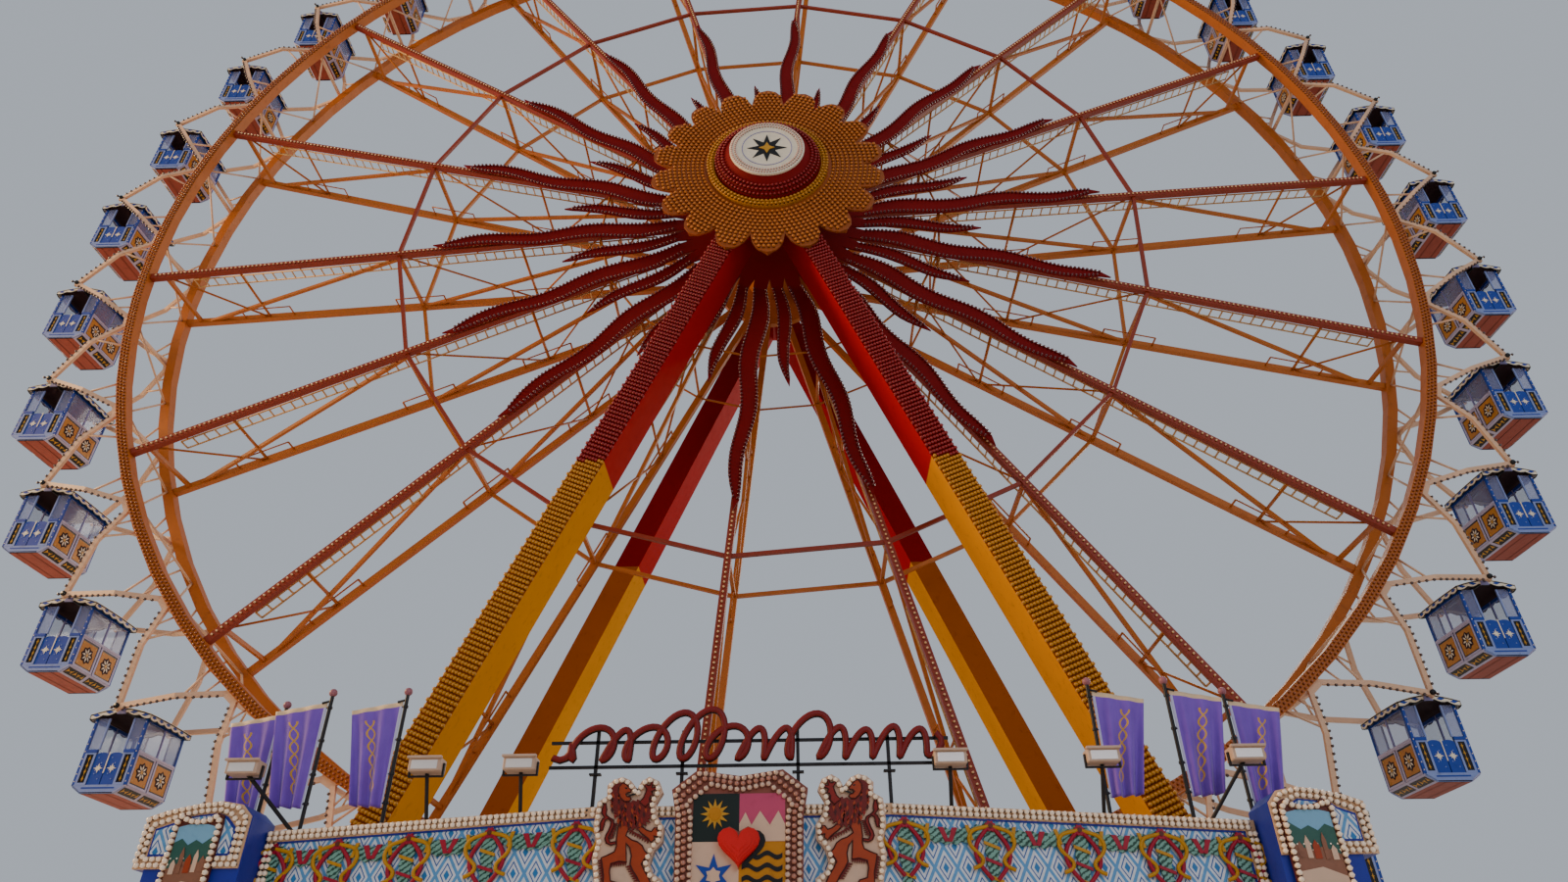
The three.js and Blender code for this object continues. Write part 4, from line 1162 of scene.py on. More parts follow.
def pendantAt(x):  # one hanging bunch of leaves, wound with ribbons under a rosette
    top = garlandTop
    leaves = [(x - 0.05, top - 0.05)]
    leaves += [(x - (0.13 if n % 2 else 0.09) * (1 - 0.03 * n), top - 0.12 - 0.09 * n) for n in range(11)]
    parts = [addPlate(leaves + mirrorX(leaves[::-1], x), 0.04, laurel, 0.06)]
    for n, material in enumerate((yellowRibbon, crimsonRibbon, yellowRibbon)):
        z = top - 0.28 - 0.25 * n
        band = [(x - 0.13, z + 0.05), (x - 0.13, z), (x + 0.13, z - 0.09), (x + 0.13, z - 0.04)]
        parts.append(addPlate(band, 0.03, material, 0.085))
    for hand in (-1, 1):
        loop = [
            (x + hand * (0.04 + 0.24 * math.sin(math.pi * s / 12)), top - 0.02 - 0.8 * s / 12)
            for s in range(13)
        ]
        curl = [(x + hand * a, top + b) for a, b in ribbonCurl]
        for line, radius, material, front in (
            (loop, 0.036, crimsonRibbon, 0.07), (curl, 0.034, yellowRibbon, 0.08)
        ):
            parts.append(
                addTube([(a, -front, b) for a, b in line], radius, material, sides=1, resolution=3)
            )
    petals = starPoints(x, top, 0.07, 0.095, 8)
    parts.append(addPlate(petals, 0.05, crimsonRibbon, 0.1))
    parts.append(addPlate(starPoints(x, top, 0.04, 0.04, 4), 0.05, brownFrame, 0.12))
    return parts


bandWide, lineWide, bulbInsets = 0.18, 0.03, (0.05, 0.13)
fasciaParts = []
for facet, ((x0, y0), (x1, y1)) in facets.items():
    span = math.hypot(x1 - x0, y1 - y0)
    turned = Matrix.Rotation(math.atan2(y1 - y0, x1 - x0), 4, "Z")
    place = Matrix.Translation((x0 * metre, y0 * metre, 0)) @ turned
    start, end = boardTopAt(x0), boardTopAt(x1)
    rise = (end - start) / span

    def under(a, b, below, above=0.0):  # a strip from a to b under the sloping top edge
        return [
            (a, start + rise * a - below), (b, start + rise * b - below),
            (b, start + rise * b - above), (a, start + rise * a - above),
        ]

    body = addPlate([(0, boardLow), (span, boardLow), (span, end), (0, start)], 0.16, postBrown, 0.0)
    body.data.transform(place)
    fasciaParts.append(body)
    face = [(0.0, boardLow + 0.01), (span, boardLow + 0.01), (span, end - 0.01), (0.0, start - 0.01)]
    bandTop = boardLow + bandWide
    parts = [
        addPlate(face, 0.012, lozengeBoard, 0.014),
        addPlate(under(0.0, span, bandWide), 0.04, tanBand, 0.042),
        addPlate(under(0.0, span, bandWide + lineWide, bandWide), 0.03, deepBlueEnamel, 0.032),
        addPlate(rectangle(0.0, span, boardLow, bandTop), 0.04, tanBand, 0.042),
        addPlate(rectangle(0.0, span, bandTop, bandTop + lineWide), 0.03, deepBlueEnamel, 0.032),
    ]
    rows = []
    margin = bulbInsets[0]
    for row in bulbInsets:
        rows.append([(margin, start + rise * margin - row), (span - margin, end - rise * margin - row)])
        rows.append([(margin, boardLow + row), (span - margin, boardLow + row)])
    if facet in rosettes:
        bandAt, lineAt = 0.0, bandWide
        if facet == "right":
            bandAt, lineAt = span - bandWide, span - bandWide - lineWide
        sideTop = start + rise * bandAt - bandWide
        parts.append(addPlate(rectangle(bandAt, bandAt + bandWide, bandTop, sideTop), 0.04, tanBand, 0.042))
        parts.append(
            addPlate(rectangle(lineAt, lineAt + lineWide, bandTop, sideTop), 0.03, deepBlueEnamel, 0.032)
        )
        rows += [[(bandAt + row, bandTop), (bandAt + row, sideTop)] for row in bulbInsets]
        xs = [(x - x0) * span / (x1 - x0) for x in rosettes[facet]]
        bunches = [part for a, b in zip(xs, xs[1:]) for part in swagBetween(a, b)]
        bunches += [part for x in xs for part in pendantAt(x)]
        garland = joinParts(bunches, "garland_" + facet)
        garland.data.transform(
            Matrix(((1, 0, 0, 0), (0, 1, 0, 0), (rise, 0, 1, (start - garlandBoard) * metre), (0, 0, 0, 1)))
        )
        parts.append(garland)
    for row in rows:
        layLamps("ivory", bulbRow(row, 0.105), 0.042, place)
        # a dark dot between each pair of lamps: painted shadow
        layLamps("dots", bulbRow(row, 0.105, 0.0525), 0.042, place)
    board = joinParts(parts, "fascia_board_" + facet)
    board.data.transform(place)
    mountOn(board, "support", "board_paint")

# Behind the boards: brown posts and a rail with two stubs, and the black lamp arms above them
postXs, stubXs = (-8.19, -3.05, 2.75, 8.19), (-3.05, 2.75)
railLow, railTop = 4.45, 4.55
lampArms = (  # foot across, head across, foot's depth
    (-7.85, -8.7, -7.9), (-5.6, -5.6, -8.06), (-4, -4, -8.14), (3.25, 3.25, -8.14), (5.8, 5.8, -8.02),
    (7.55, 8.2, -7.92),
)
timbers = [((x - 0.09, -7.76, 0), (x + 0.09, -7.6, 4.6)) for x in postXs]
timbers.append(((-8.2, -7.85, railLow), (8.2, -7.7, railTop)))
timbers += [((x - 0.05, -8.16, railLow), (x + 0.05, -7.85, railTop)) for x in stubXs]
fasciaParts += [addBlock(low, high, postBrown, 0.01) for low, high in timbers]
for low, x, y in lampArms:
    fasciaParts.append(addRod((low, y, boardTopAt(low) - 0.1), (x, -8.5, 6.17), 0.034, blackEnamel, 8))
mountOn(joinParts(fasciaParts, "fascia_dressed"), "support", "front_paint", "fascia")
print("fascia boards made")

# Crest with four plain quarters and a raised heart
crestFront = 8.56
crestEdge = [
    (-1.02, 3.9), (-1.05, 5.36), (-1.13, 5.76), (-0.72, 6.07), (0, 5.97), (0.72, 6.07), (1.13, 5.76),
    (1.05, 5.36), (1.02, 3.9), (0.72, 3.35), (-0.72, 3.35),
]
fieldLeft, fieldRight, fieldLow, fieldTop, quarterLine = -0.76, 0.75, 3.72, 5.68, 4.93
crestParts = []


def crestPlate(points, thick, material, front):
    crestParts.append(
        addPlate([(x + boardShift, z) for x, z in points], thick, material, crestFront + front)
    )


def heartLoop(size, x0=0.0, z0=4.87):
    points = []
    for n in range(28):
        t = 2 * math.pi * n / 28
        curve = 0.235 * math.cos(t) - 0.09 * math.cos(2 * t) - 0.036 * math.cos(3 * t)
        curve -= 0.018 * math.cos(4 * t)
        points.append((x0 + size * 0.305 * math.sin(t) ** 3, z0 + size * curve * 1.05))
    return points


crestPlate(rectangle(fieldLeft, 0, quarterLine, fieldTop), 0.02, bottleGreen, 0.02)
crestPlate(rectangle(0, fieldRight, quarterLine, fieldTop), 0.02, rosePink, 0.02)
leftCorner = [
    (fieldLeft, 3.95), (-0.5, fieldLow), (0, fieldLow), (0, quarterLine), (fieldLeft, quarterLine)
]
rightCorner = [
    (0, fieldLow), (0.5, fieldLow), (fieldRight, 3.95), (fieldRight, quarterLine), (0, quarterLine)
]
zigzag = [(fieldRight, 5.18), (0.64, 5.4), (0.5, 5.18), (0.34, 5.4), (0.2, 5.18), (0.1, 5.38), (0, 5.2)]
crestPlate(leftCorner, 0.02, creamQuarter, 0.02)
crestPlate(rightCorner, 0.02, amberPanel, 0.02)
crestPlate([(0, quarterLine), (fieldRight, quarterLine)] + zigzag, 0.012, creamQuarter, 0.03)
for z, long, short, tips, start, material, front in (
    (5.36, 0.24, 0.12, 12, 0.0, goldPaint, 0.034), (5.36, 0.11, 0.1, 12, 0.0, amberPanel, 0.044),
    (4.42, 0.33, 0.14, 6, quarterTurn, cabinBlue, 0.034),
    (4.42, 0.13, 0.09, 6, quarterTurn, creamQuarter, 0.044),
):
    crestPlate(starPoints(-0.4, z, long, short, tips, start), 0.015, material, front)
for row in range(5):
    wave = [
        (0.05 + 0.65 * n / 16, 4.72 - 0.18 * row + 0.035 * math.sin(2 * math.pi * n / 8)) for n in range(17)
    ]
    band = [(x, z - 0.035) for x, z in wave] + [(x, z + 0.035) for x, z in wave[::-1]]
    crestPlate(band, 0.015, blackGloss, 0.034)
crestPlate(heartLoop(1.08, 0.1, 4.86), 0.02, blackGloss, 0.05)
for size, front in ((1.12, 0.15), (1.04, 0.18), (0.9, 0.2), (0.7, 0.215), (0.42, 0.225)):
    crestPlate(heartLoop(size), front - 0.02, heartRed, front)
mountOn(joinParts(crestParts, "crest_dressing"), "support", "board_paint")

crestLamps = {"outer": [], "inner": []}
for inset, kind in ((0.06, "outer"), (0.15, "inner"), (0.25, "outer")):
    path = []
    for x, z in crestEdge:
        drop = inset * (0.95 if z > 5.5 else -0.95 if z < 3.6 else 0.0)
        path.append((x - math.copysign(inset, x) if abs(x) > 0.1 else x, z - drop))
    for x, z in bulbRow(path + path[:1], 0.108, 0.02 + inset / 3):
        crestLamps[kind].append(facing((x + boardShift, -crestFront, z), towardViewer))
stampLamps(0.05, blondBulb, lionEdge, crestLamps["outer"], "crest_outer_lamps", "support", "board_paint")
stampLamps(0.05, roseBulb, lionEdge, crestLamps["inner"], "crest_inner_lamps", "support", "board_paint")
print("crest made")

# Lion boards: a cream board edged with lamps, and a plain heraldic lion facing the crest
lionFront = 8.48
lionOutline = [
    (1.3, 3.42), (2.3, 3.42), (2.3, 4.3), (2.38, 4.73), (2.33, 4.95), (2.4, 5.2), (2.37, 5.6), (2.22, 5.69),
    (2.23, 5.86), (2.12, 5.96), (1.98, 6.0), (1.84, 5.94), (1.72, 5.8), (1.66, 5.92), (1.53, 6.0),
    (1.36, 5.92), (1.29, 5.75), (1.4, 5.56), (1.36, 5.36), (1.24, 5.19), (1.25, 4.97), (1.38, 4.83),
    (1.44, 4.63), (1.39, 4.5), (1.22, 4.38), (1.22, 3.9),
]
# the lion is drawn on a grid: u runs from its back to its paws, and v from its head down
lionGrid = {"left": 2.5, "top": 6.1, "wide": 0.0119, "high": 0.0111, "lean": 0.0011}
lionTail = [
    (32, 105), (25, 107), (19, 104), (17, 98), (19, 92), (22, 87), (25, 80), (26, 74), (22, 70), (18, 72),
    (16, 80), (14, 86), (8, 88), (11, 85), (11, 76), (14, 70), (17, 68), (13, 62), (14, 55), (16, 50),
    (15, 46), (19, 49), (20, 57), (19, 64), (23, 68), (29, 72), (30, 79), (26, 88), (22, 96), (24, 103),
    (32, 102),
]
lionBody = [
    (38, 74), (48, 78), (51, 84), (48, 89), (46, 94), (54, 100), (62, 103), (68, 108), (71, 115), (75, 120),
    (70, 127), (66, 133), (70, 142), (75, 151), (80, 164), (88, 172), (80, 178), (68, 176), (66, 164),
    (60, 151), (54, 141), (51, 133), (53, 122), (51, 111), (46, 104), (46, 118), (46, 130), (36, 129),
    (25, 132), (23, 142), (24, 155), (34, 158), (38, 164), (26, 168), (14, 164), (15, 148), (13, 132),
    (12, 124), (22, 120), (30, 116), (33, 108), (33, 98), (35, 86),
]
lionManeEdge = [
    (43, 18), (35, 20), (30, 23), (26, 28), (27, 32), (24, 36), (28, 39), (25, 43), (29, 46), (25, 50),
    (30, 53), (26, 57), (31, 59), (29, 63), (34, 63), (32, 67), (37, 67), (35, 71), (39, 71), (37, 76),
    (43, 75), (43, 81), (48, 79), (49, 86), (53, 82), (55, 88), (59, 83), (62, 88), (65, 82), (69, 84),
    (69, 78), (75, 81), (74, 75), (81, 77), (77, 71), (84, 70), (79, 67), (84, 63), (79, 60), (84, 58),
    (78, 55), (81, 50), (78, 47), (68, 45), (63, 43), (62, 46), (57, 44), (54, 47), (46, 46), (42, 40),
    (45, 28),
]
lionHead = [
    (43, 19), (48, 21), (51, 25), (55, 30), (54, 33), (50, 33), (47, 36), (49, 39), (53, 40), (55, 43),
    (51, 46), (45, 46), (40, 41), (37, 33), (38, 25),
]
lionTongue = [
    (48, 39), (54, 36), (60, 34), (63, 31), (62, 28), (59, 29), (62, 27), (65, 29), (64, 33), (60, 36),
    (54, 38),
]
lionRaisedPaw = [
    (66, 47), (72, 41), (75, 34), (77, 29), (74, 24), (75, 20), (78, 23), (82, 23), (83, 19), (87, 18),
    (85, 22), (84, 27), (88, 26), (92, 27), (88, 30), (83, 32), (85, 37), (87, 38), (82, 38), (80, 42),
    (80, 48), (74, 54),
]
lionLowPaw = [
    (62, 84), (69, 82), (75, 87), (81, 89), (85, 84), (91, 83), (88, 86), (91, 89), (90, 92), (94, 97),
    (88, 96), (84, 95), (85, 100), (80, 104), (77, 99), (71, 94), (66, 90),
]
lionEye = [(46, 26), (49, 26), (50, 28), (47, 28)]
lionForms = [
    (lionRed, 0.036, lionTail), (lionOrange, 0.042, lionBody), (lionMane, 0.052, lionManeEdge),
    (lionOrange, 0.062, lionHead),
    (blackGloss, 0.058, lionTongue), (lionRed, 0.06, lionRaisedPaw), (lionOrange, 0.048, lionLowPaw),
    (blackGloss, 0.066, lionEye),
]
# fur along an edge: start, end, the way its teeth point, and how many there are
lionFurs = (
    ((12, 125), (15, 156), (-5, 3), 9), ((24, 131), (46, 129), (2, 6), 7),
    ((74, 119), (66, 133), (6, 3), 6), ((50, 134), (62, 156), (-6, 3), 7), ((30, 76), (23, 98), (6, 1), 8),
    ((51, 85), (78, 100), (0, 7), 8), ((80, 41), (80, 55), (5, 1), 4),
)
for (u0, v0), (u1, v1), (outU, outV), count in lionFurs:
    for n in range(count):  # each tooth of fur is a triangle
        share, after = n / count, (n + 1.2) / count
        u, v = u0 + (u1 - u0) * share, v0 + (v1 - v0) * share
        tooth = [(u, v), (u + outU, v + outV), (u0 + (u1 - u0) * after, v0 + (v1 - v0) * after)]
        lionForms.append((lionMane, 0.034, tooth))


def insetLoop(loop, amount):  # a closed outline moved inwards along its corners' bisectors
    moved = []
    for n, (x, z) in enumerate(loop):
        before, after = loop[n - 1], loop[(n + 1) % len(loop)]
        one = Vector((x - before[0], z - before[1])).normalized()
        two = Vector((after[0] - x, after[1] - z)).normalized()
        across = Vector((-(one.y + two.y), one.x + two.x)).normalized()
        reach = amount / max(0.5, across.dot(Vector((-one.y, one.x))))
        moved.append((x + across.x * reach, z + across.y * reach))
    return moved


for hand, side in ((-1, "left"), (1, "right")):
    def onBoard(points):  # a drawing moved to this side's board
        return [(hand * x + boardShift, z) for x, z in points]

    def fromGrid(points):
        return onBoard([
            (
                lionGrid["left"] - lionGrid["lean"] * v - lionGrid["wide"] * u,
                lionGrid["top"] - lionGrid["high"] * v,
            )
            for u, v in points
        ])

    parts = []
    for material, front, points in lionForms:
        drawn = fromGrid(points)
        parts.append(addPlate(drawn, 0.03, material, lionFront + front))
        if material in (lionOrange, lionRed):
            line = [(x, -(lionFront + front), z) for x, z in drawn]
            parts.append(addTube(line, 0.011, lionEdge, closed=True, smooth=False))
    for n in range(64):  # brushed locks of the mane
        u, v = 29 + 6.2 * (n % 8) + 2 * math.sin(2.3 * n), 33 + 6.0 * (n // 8) + 2 * math.cos(1.7 * n)
        u = 54 + (u - 54) * (1 - 0.45 * max(0.0, v - 55) / 25)
        if v >= 47 or u <= 38:
            lock = fromGrid([(u + a, v + b) for a, b in ((0, -2), (2.2, 2.4), (0.6, 8), (-1.6, 2.6))])
            parts.append(addPlate(lock, 0.006, (lionOrange, lionRed, lionEdge)[n % 3], lionFront + 0.056))
    mountOn(joinParts(parts, "lion_" + side), "support", "board_paint")
    edge = onBoard(insetLoop(lionOutline, 0.055))
    layLamps("ivory", bulbRow(edge + edge[:1], 0.1), lionFront)
print("lions made")

# Tower hoods with lozenges, lamps and a framed picture of plain hills
towers = (  # side, hand, the hood's outer edge, the picture's edges
    ("left", -1, 10.03, 8.72, 9.5), ("right", 1, 9.85, 8.42, 9.3),
)
towerInner, towerFront, hoodLow = 8.3, 8.6, 4.62
hoodArch = ((0.83, 5.52), (0.66, 5.58), (0.5, 5.63), (0.32, 5.66), (0.12, 5.6))
frameTop = [
    (1.0, 5.3), (0.97, 5.42), (0.85, 5.46), (0.7, 5.38), (0.5, 5.35), (0.3, 5.38), (0.15, 5.46),
    (0.03, 5.42), (0.0, 5.3),
]
frameLine = [
    (0.05, 3.94), (0.05, 5.3), (0.12, 5.4), (0.3, 5.33), (0.5, 5.31), (0.7, 5.33), (0.88, 5.4), (0.95, 5.3),
    (0.95, 3.94),
]
pictureFoot = [(0.1, 4.0), (0.9, 4.0)]
pictureLayers = (  # shares of the picture's width and real heights, thickness, material, front
    ([(0.0, 3.9), (1.0, 3.9)] + frameTop, 0.05, brownFrame, 0.1),
    (pictureFoot + [(0.9, 5.24), (0.7, 5.28), (0.3, 5.28), (0.1, 5.24)], 0.01, skyBlue, 0.106),
    (pictureFoot + [
        (0.9, 5.0), (0.75, 5.06), (0.6, 4.96), (0.45, 5.04), (0.3, 4.98), (0.1, 5.1)
    ], 0.01, hillGreen, 0.112),
    (pictureFoot + [(0.9, 4.6), (0.6, 4.72), (0.4, 4.66), (0.1, 4.76)], 0.01, stoneBrown, 0.118),
    (pictureFoot + [(0.9, 4.28), (0.5, 4.42), (0.1, 4.36)], 0.01, creamQuarter, 0.126),
    ([(0.16, 4.06), (0.84, 4.06), (0.8, 4.18), (0.2, 4.18)], 0.01, brownFrame, 0.134),
)
# each roof's share of the picture's width, height and width
roofs = ((0.2, 0.24, 0.1), (0.34, 0.34, 0.09), (0.48, 0.28, 0.12), (0.64, 0.4, 0.08), (0.78, 0.22, 0.1))
for side, hand, hood, pictureIn, pictureOut in towers:
    shoulder = 5.42
    inner = towerInner + 0.02
    arch = [(towerInner + (hood - towerInner) * share, z) for share, z in hoodArch]
    rim = [(inner, hoodLow), (hood, hoodLow), (hood, shoulder)] + arch + [(inner, shoulder)]
    middle = (towerInner + hood) / 2

    def inset(amount):  # the hood's rim moved inwards, on this side
        moved = []
        for x, z in rim:
            if abs(x - middle) > 0.5:
                x -= math.copysign(amount, x - middle)
            moved.append((hand * x, z - math.copysign(amount, z - 5.1)))
        return moved

    def picture(points):
        return [(hand * (pictureIn + (pictureOut - pictureIn) * share), z) for share, z in points]

    parts = [
        addPlate([(hand * x, z) for x, z in rim], 0.03, tanBand, towerFront + 0.03),
        addPlate(inset(0.19), 0.015, deepBlueEnamel, towerFront + 0.04),
        addPlate(inset(0.22), 0.015, lozengeBoard, towerFront + 0.05),
    ]
    for row in (0.05, 0.14):
        loop = inset(row)
        layLamps("ivory", bulbRow(loop + loop[:1], 0.105), towerFront + 0.03)
        # a dark dot between each pair of lamps: painted shadow
        layLamps("dots", bulbRow(loop + loop[:1], 0.105, 0.0525), towerFront + 0.03)
    for points, thick, material, front in pictureLayers:
        parts.append(addPlate(picture(points), thick, material, towerFront + front))
    for n, (share, height, width) in enumerate(roofs):
        z, left, right = 4.56 - 0.01 * n, share - width / 2, share + width / 2
        roof = picture([
            (left, z), (right, z), (right, z + height * 0.7), (share, z + height), (left, z + height * 0.7)
        ])
        tint = (stoneBrown, creamQuarter, lionOrange)[n % 3]
        parts.append(addPlate(roof, 0.01, tint, towerFront + 0.124 + 0.002 * n))
    mountOn(joinParts(parts, "hood_" + side), "support", "tower_paint")
    loop = picture(frameLine)
    layLamps("ivory", bulbRow(loop + loop[:1], 0.1), towerFront + 0.1)
stampLamps(0.048, ivoryBulb, tanBand, facadeLamps["ivory"], "facade_lamps", "support", "board_paint")
# the facade's dark dots are painted shadow between the lamps
stampLamps(0.02, lampShadowDark, None, facadeLamps["dots"], "facade_dots", "support", "board_paint")
print("towers made; facade lamps:", len(facadeLamps["ivory"]))

# Running scroll over the board: plain loops cut from plate, on black rails and posts
signPlace = {"front": 8.32, "left": -3.55, "right": 3.25, "foot": 6.32}
scrollTops = [6.9, 6.85, 6.9, 7.15, 7.2, 6.9, 6.85, 6.85, 7.1, 6.85, 6.8, 6.85, 6.8]


def scrollLoops():  # a brushed line of low waves and tall loops, with a lead-in and a tail
    left, foot = signPlace["left"], signPlace["foot"]
    leadIn = ((0.02, 0.06), (0.16, -0.02), (0.34, 0.12), (0.3, 0.34))
    points = [(left + a, foot + b) for a, b in leadIn]
    step = (signPlace["right"] - left - 0.75) / len(scrollTops)
    for n, top in enumerate(scrollTops):
        half = (top - foot) / 2
        curl = 0.5 if top > 6.88 else 0.12
        for m in range(12):
            turn = 2 * math.pi * m / 12
            x = left + 0.4 + step * (n + m / 12) - step * curl * math.sin(turn)
            x += 0.3 * half * (1 - math.cos(turn))
            points.append((x, foot + half * (1 - math.cos(turn))))
    right = left + 0.4 + step * len(scrollTops)
    return points + [(right + a, foot + b) for a, b in ((0.06, 0.0), (0.22, 0.1), (0.3, 0.3), (0.18, 0.4))]


def scrollRibbon(out, radius, flat, material):
    # a flattened tube along the scroll, `out` towards the viewer
    y = -signPlace["front"] - out
    ribbon = addTube([(x, y, z) for x, z in scrollLoops()], radius, material, sides=1, resolution=2)
    away = Matrix.Translation((0, y * metre, 0))
    ribbon.data.transform(away @ Matrix.Diagonal((1, flat, 1, 1)) @ away.inverted())
    return ribbon


signParts = [scrollRibbon(0.02, 0.058, 0.35, scrollEnamel), scrollRibbon(-0.03, 0.068, 0.6, blackEnamel)]
for z in (6.24, 6.66):
    signParts.append(addBlock((-3.6, -8.22, z - 0.025), (3.3, -8.17, z + 0.025), blackEnamel))
for x in (-2.79, -1.3, 0.69, 2.25):
    signParts.append(addBlock((x - 0.03, -8.22, boardPeak + 0.0012), (x + 0.03, -8.17, 6.85), blackEnamel))
    signParts.append(addBlock((x - 0.1, -8.25, 6.1), (x + 0.1, -8.14, 6.13), blackEnamel))
mountOn(joinParts(signParts, "scroll_dressed"), "support", "sign_paint", "scroll_sign")
print("scroll made")

# Flags: black poles with rose ball tops, and six hanging cloths
flagSize = {
    "wide": 0.98, "tall": 1.88, "narrowing": 0.37, "top": 7.6, "drop": 0.16, "low": 5.72, "rise": 0.04,
    "fold": 0.082, "waves": 2.5, "pole": 0.035, "poleTop": 7.7, "columns": 30, "rows": 26,
}
flagPoles = {
    "left": (-1, ((6.5, -7.75, 4.6), (7.9, -7.75, 4.6), (9.05, -7.1, 5.1))),
    "right": (1, ((6.0, -7.75, 4.6), (7.4, -7.75, 4.6), (8.7, -7.1, 5.1))),
}
railFront, railBack, railHigh = -7.79, -7.71, 0.1
flagTop, poleTop = flagSize["top"], flagSize["poleTop"]


def makeFlag(x, y, side, phase, name):
    # one hung cloth: narrower and more deeply folded towards its foot, so that its area stays true
    columns, rows = flagSize["columns"], flagSize["rows"]
    corners, marks = [], []
    for j in range(rows + 1):
        down = j / rows
        clothWide = flagSize["wide"] * (1 - flagSize["narrowing"] * down)
        fold = flagSize["fold"] * (0.12 + 0.88 * down ** 0.8)
        for i in range(columns + 1):
            out = i / columns
            top = flagTop - flagSize["drop"] * out
            foot = flagSize["low"] + flagSize["rise"] * out
            wave = math.sin(2 * math.pi * flagSize["waves"] * out ** 1.15 + phase + 0.9 * down)
            corners.append((
                (x + side * (flagSize["pole"] + 0.02 + (clothWide - 0.06) * out)) * metre,
                (y + fold * wave * min(1.0, out * 5)) * metre,
                (top + (foot - top) * down) * metre,
            ))
            marks.append((out, 1 - down))
    faces = []
    for j in range(rows):
        for a in range(j * (columns + 1), j * (columns + 1) + columns):
            faces.append((a, a + columns + 1, a + columns + 2, a + 1)[::side])
    flag = newMesh(name, corners, [], faces)
    layer = flag.data.uv_layers.new(name="cloth")
    for loop in flag.data.loops:
        layer.data[loop.index].uv = marks[loop.vertex_index]
    paint(flag, flagCloth)
    bpy.ops.object.shade_smooth()
    thicken = flag.modifiers.new("thickness", "SOLIDIFY")
    thicken.thickness = 0.003
    thicken.offset = 0
    bpy.ops.object.modifier_apply(modifier=thicken.name)
    return flag


for sideName, (side, poles) in flagPoles.items():
    parts = []

    def bar(x0, x1, y0, y1, z0, z1):
        low, high = sided(side, x0, x1)
        parts.append(addBlock((low, y0, z0), (high, y1, z1), poleSteel, 0.01))

    for x, y, foot in poles:
        def upright(z0, z1, radius):
            parts.append(addRod((side * x, y, z0), (side * x, y, z1), radius, poleSteel, 12))

        upright(foot, poleTop + 0.02, flagSize["pole"])
        selectOnly()
        bpy.ops.mesh.primitive_uv_sphere_add(
            segments=18, ring_count=12, radius=0.075 * metre,
            location=(side * x * metre, y * metre, (poleTop + 0.08) * metre),
        )
        bpy.ops.object.shade_smooth()
        parts.append(paint(bpy.context.object, roseBall))
        hook = (side * x + side * 0.16, y, flagTop - 0.01)
        parts.append(addRod((side * x, y, flagTop + 0.03), hook, 0.022, poleSteel, 8))
        for ringHeight in (7.5, 6.9, 6.3, 5.8):
            upright(ringHeight - 0.02, ringHeight + 0.02, 0.05)
            bar(x + 0.03, x + 0.075, y - 0.01, y + 0.01, ringHeight - 0.01, ringHeight + 0.01)
        upright(foot, foot + 0.16, 0.055)
    (x1, _, z1), (x2, _, _), (x3, y3, z3) = poles
    bar(x1, x2, railFront, railBack, z1, z1 + railHigh)
    bar(x2, x3, railFront, railBack, z3, z3 + railHigh)
    bar(x3 - 0.035, x3 + 0.035, railFront, y3, z3, z3 + railHigh)
    mountOn(joinParts(parts, "flag_poles_" + sideName), "support", "flag_cloth", "flags_" + sideName)
    for n, (x, y, foot) in enumerate(poles):
        flag = makeFlag(side * x, y, side, 1.1 * n + (0.4 if side > 0 else 0.0), f"flag_{sideName}_{n + 1}")
        mountOn(flag, "support", "flag_cloth")
print("flags hung")

# Floodlights on the slanted arms: a beige housing with a visor, cooling ribs, a yoke and a pale glass
floodBlocks = [  # x, y and z spans about the arm's head, material, bevel
    (-0.27, 0.27, -8.68, -8.36, 6.1, 6.33, lampBeige, 0.015),
    (-0.24, 0.24, -8.42, -8.33, 6.14, 6.29, lampBeige, 0.015),
    (-0.29, 0.29, -8.74, -8.66, 6.3, 6.34, lampBeige, 0.006),
    (-0.22, 0.22, -8.69, -8.66, 6.13, 6.28, floodGlass, 0.004),
]
floodBlocks += [
    (-0.21 + 0.06 * n, -0.19 + 0.06 * n, -8.64, -8.4, 6.32, 6.36, lampBeige, 0.0) for n in range(7)
]
floodBlocks += [(*sided(hand, 0.27, 0.3), -8.54, -8.48, 6.04, 6.26, blackEnamel, 0.004) for hand in (-1, 1)]
floodBlocks.append((-0.3, 0.3, -8.53, -8.49, 6.03, 6.06, blackEnamel, 0.004))
floodParts = [
    addBlock((x + x0, y0, z0), (x + x1, y1, z1), material, bevel)
    for foot, x, _ in lampArms for x0, x1, y0, y1, z0, z1, material, bevel in floodBlocks
]
mountOn(joinParts(floodParts, "floodlights"), "support", "front_paint")
print("floodlights made")

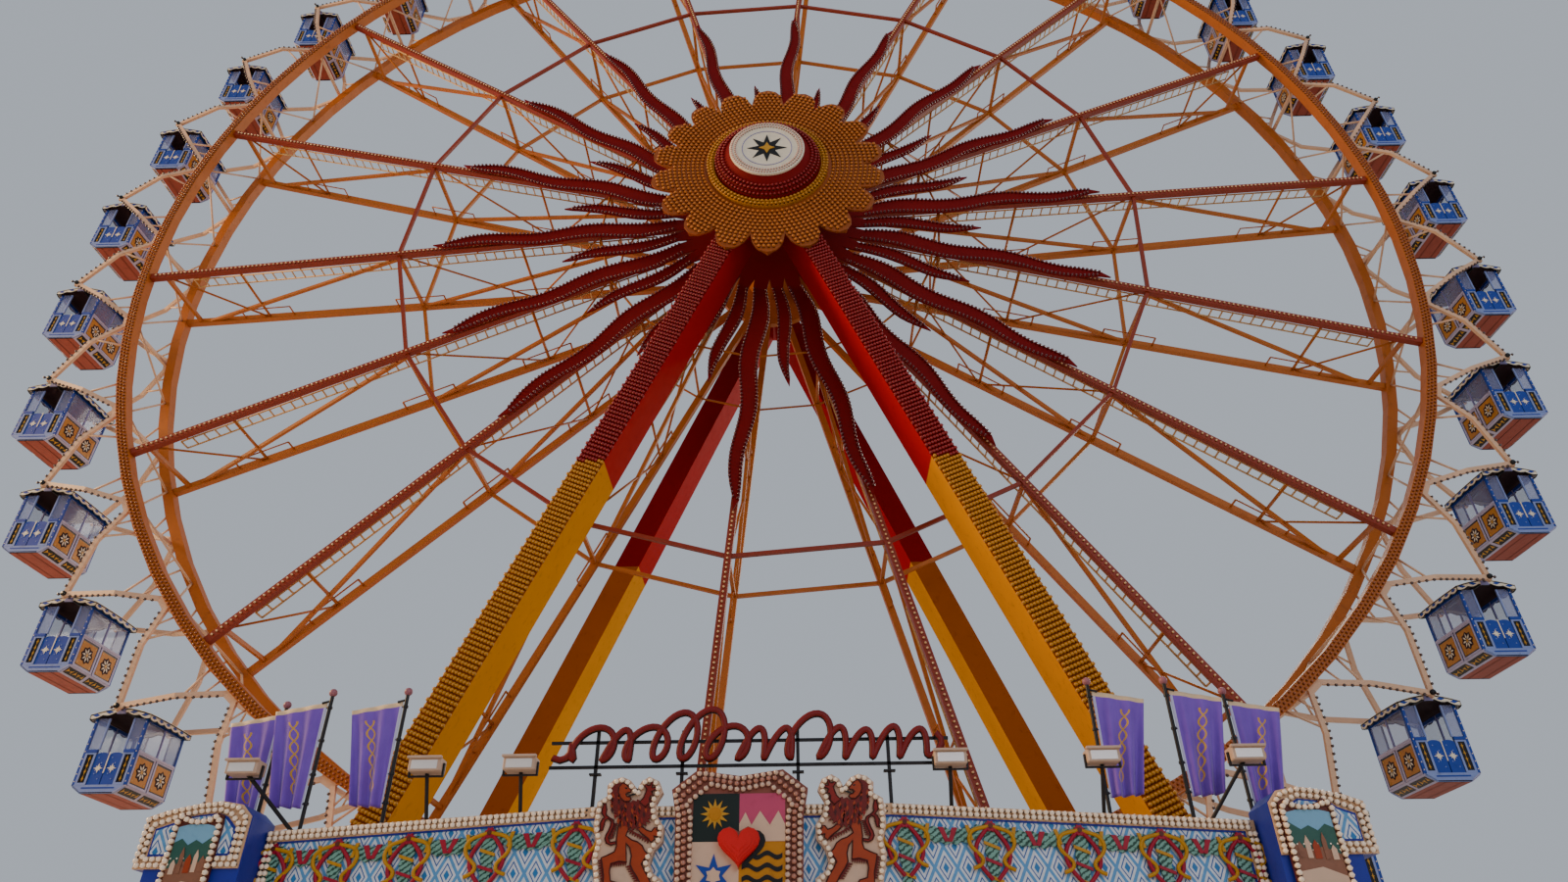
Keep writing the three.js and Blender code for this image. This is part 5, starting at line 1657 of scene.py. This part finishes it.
# Camera at the photograph's place: eye height, wide lens, looking up at the hub
view = {
    "place": Vector((0.776, -25.335, 1.684)), "yaw": math.radians(-0.91), "pitch": math.radians(33.16),
    "roll": math.radians(-0.56), "focalPixels": 1000.3, "imageWidth": 1600, "sensor": 36,
}
yaw, pitch, roll = view["yaw"], view["pitch"], view["roll"]
forward = Vector((math.sin(yaw) * math.cos(pitch), math.cos(yaw) * math.cos(pitch), math.sin(pitch)))
right = Vector((math.cos(yaw), -math.sin(yaw), 0))
up = right.cross(forward)
selectOnly()
bpy.ops.object.camera_add(location=view["place"] * metre)
camera = bpy.context.object
camera.name = "photoCamera"
axes = Matrix((
    math.cos(roll) * right + math.sin(roll) * up, -math.sin(roll) * right + math.cos(roll) * up, -forward,
)).transposed()
camera.matrix_world = Matrix.Translation(view["place"] * metre) @ axes.to_4x4()
camera.data.sensor_width = view["sensor"]
camera.data.lens = view["focalPixels"] * view["sensor"] / view["imageWidth"]
camera.data.clip_end = 500
bpy.context.scene.camera = camera

# Plain pale floor and soft studio light
selectOnly()
bpy.ops.mesh.primitive_plane_add(size=400, location=(0, 0, -0.002))
floor = bpy.context.object
floor.name = "floor"
editAll(lambda: bpy.ops.mesh.subdivide(number_cuts=3))
paint(floor, newMaterial("paleFloor", {"Base Color": linear("#d9d8d4"), "Roughness": 0.9})[0])
floor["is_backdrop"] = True
world = bpy.data.worlds.new("paleStudio")
bpy.context.scene.world = world
world.use_nodes = True
feed(world.node_tree.nodes["Background"], {"Color": linear("#dde6f2"), "Strength": 0.6})
for name, place, target, energy, size, colour in (
    ("warmKey", (-36, -4, 20), (0, 0, 11), 17000, 12, "#ffd49a"),
    ("softFront", (14, -38, 20), (0, 0, 10), 3600, 20, "#f4f2ff"),
    ("softBack", (24, 34, 26), (0, 0, 12), 8000, 20, "#fff0dc"),
):
    selectOnly()
    bpy.ops.object.light_add(type="AREA", location=place)
    light = bpy.context.object
    light.name = name
    light.data.energy = energy
    light.data.size = size
    light.data.color = linear(colour)[:3]
    light.rotation_euler = (Vector(place) - Vector(target)).to_track_quat("Z", "Y").to_euler()
print("camera and lights ready")

selectOnly()
low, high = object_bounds()
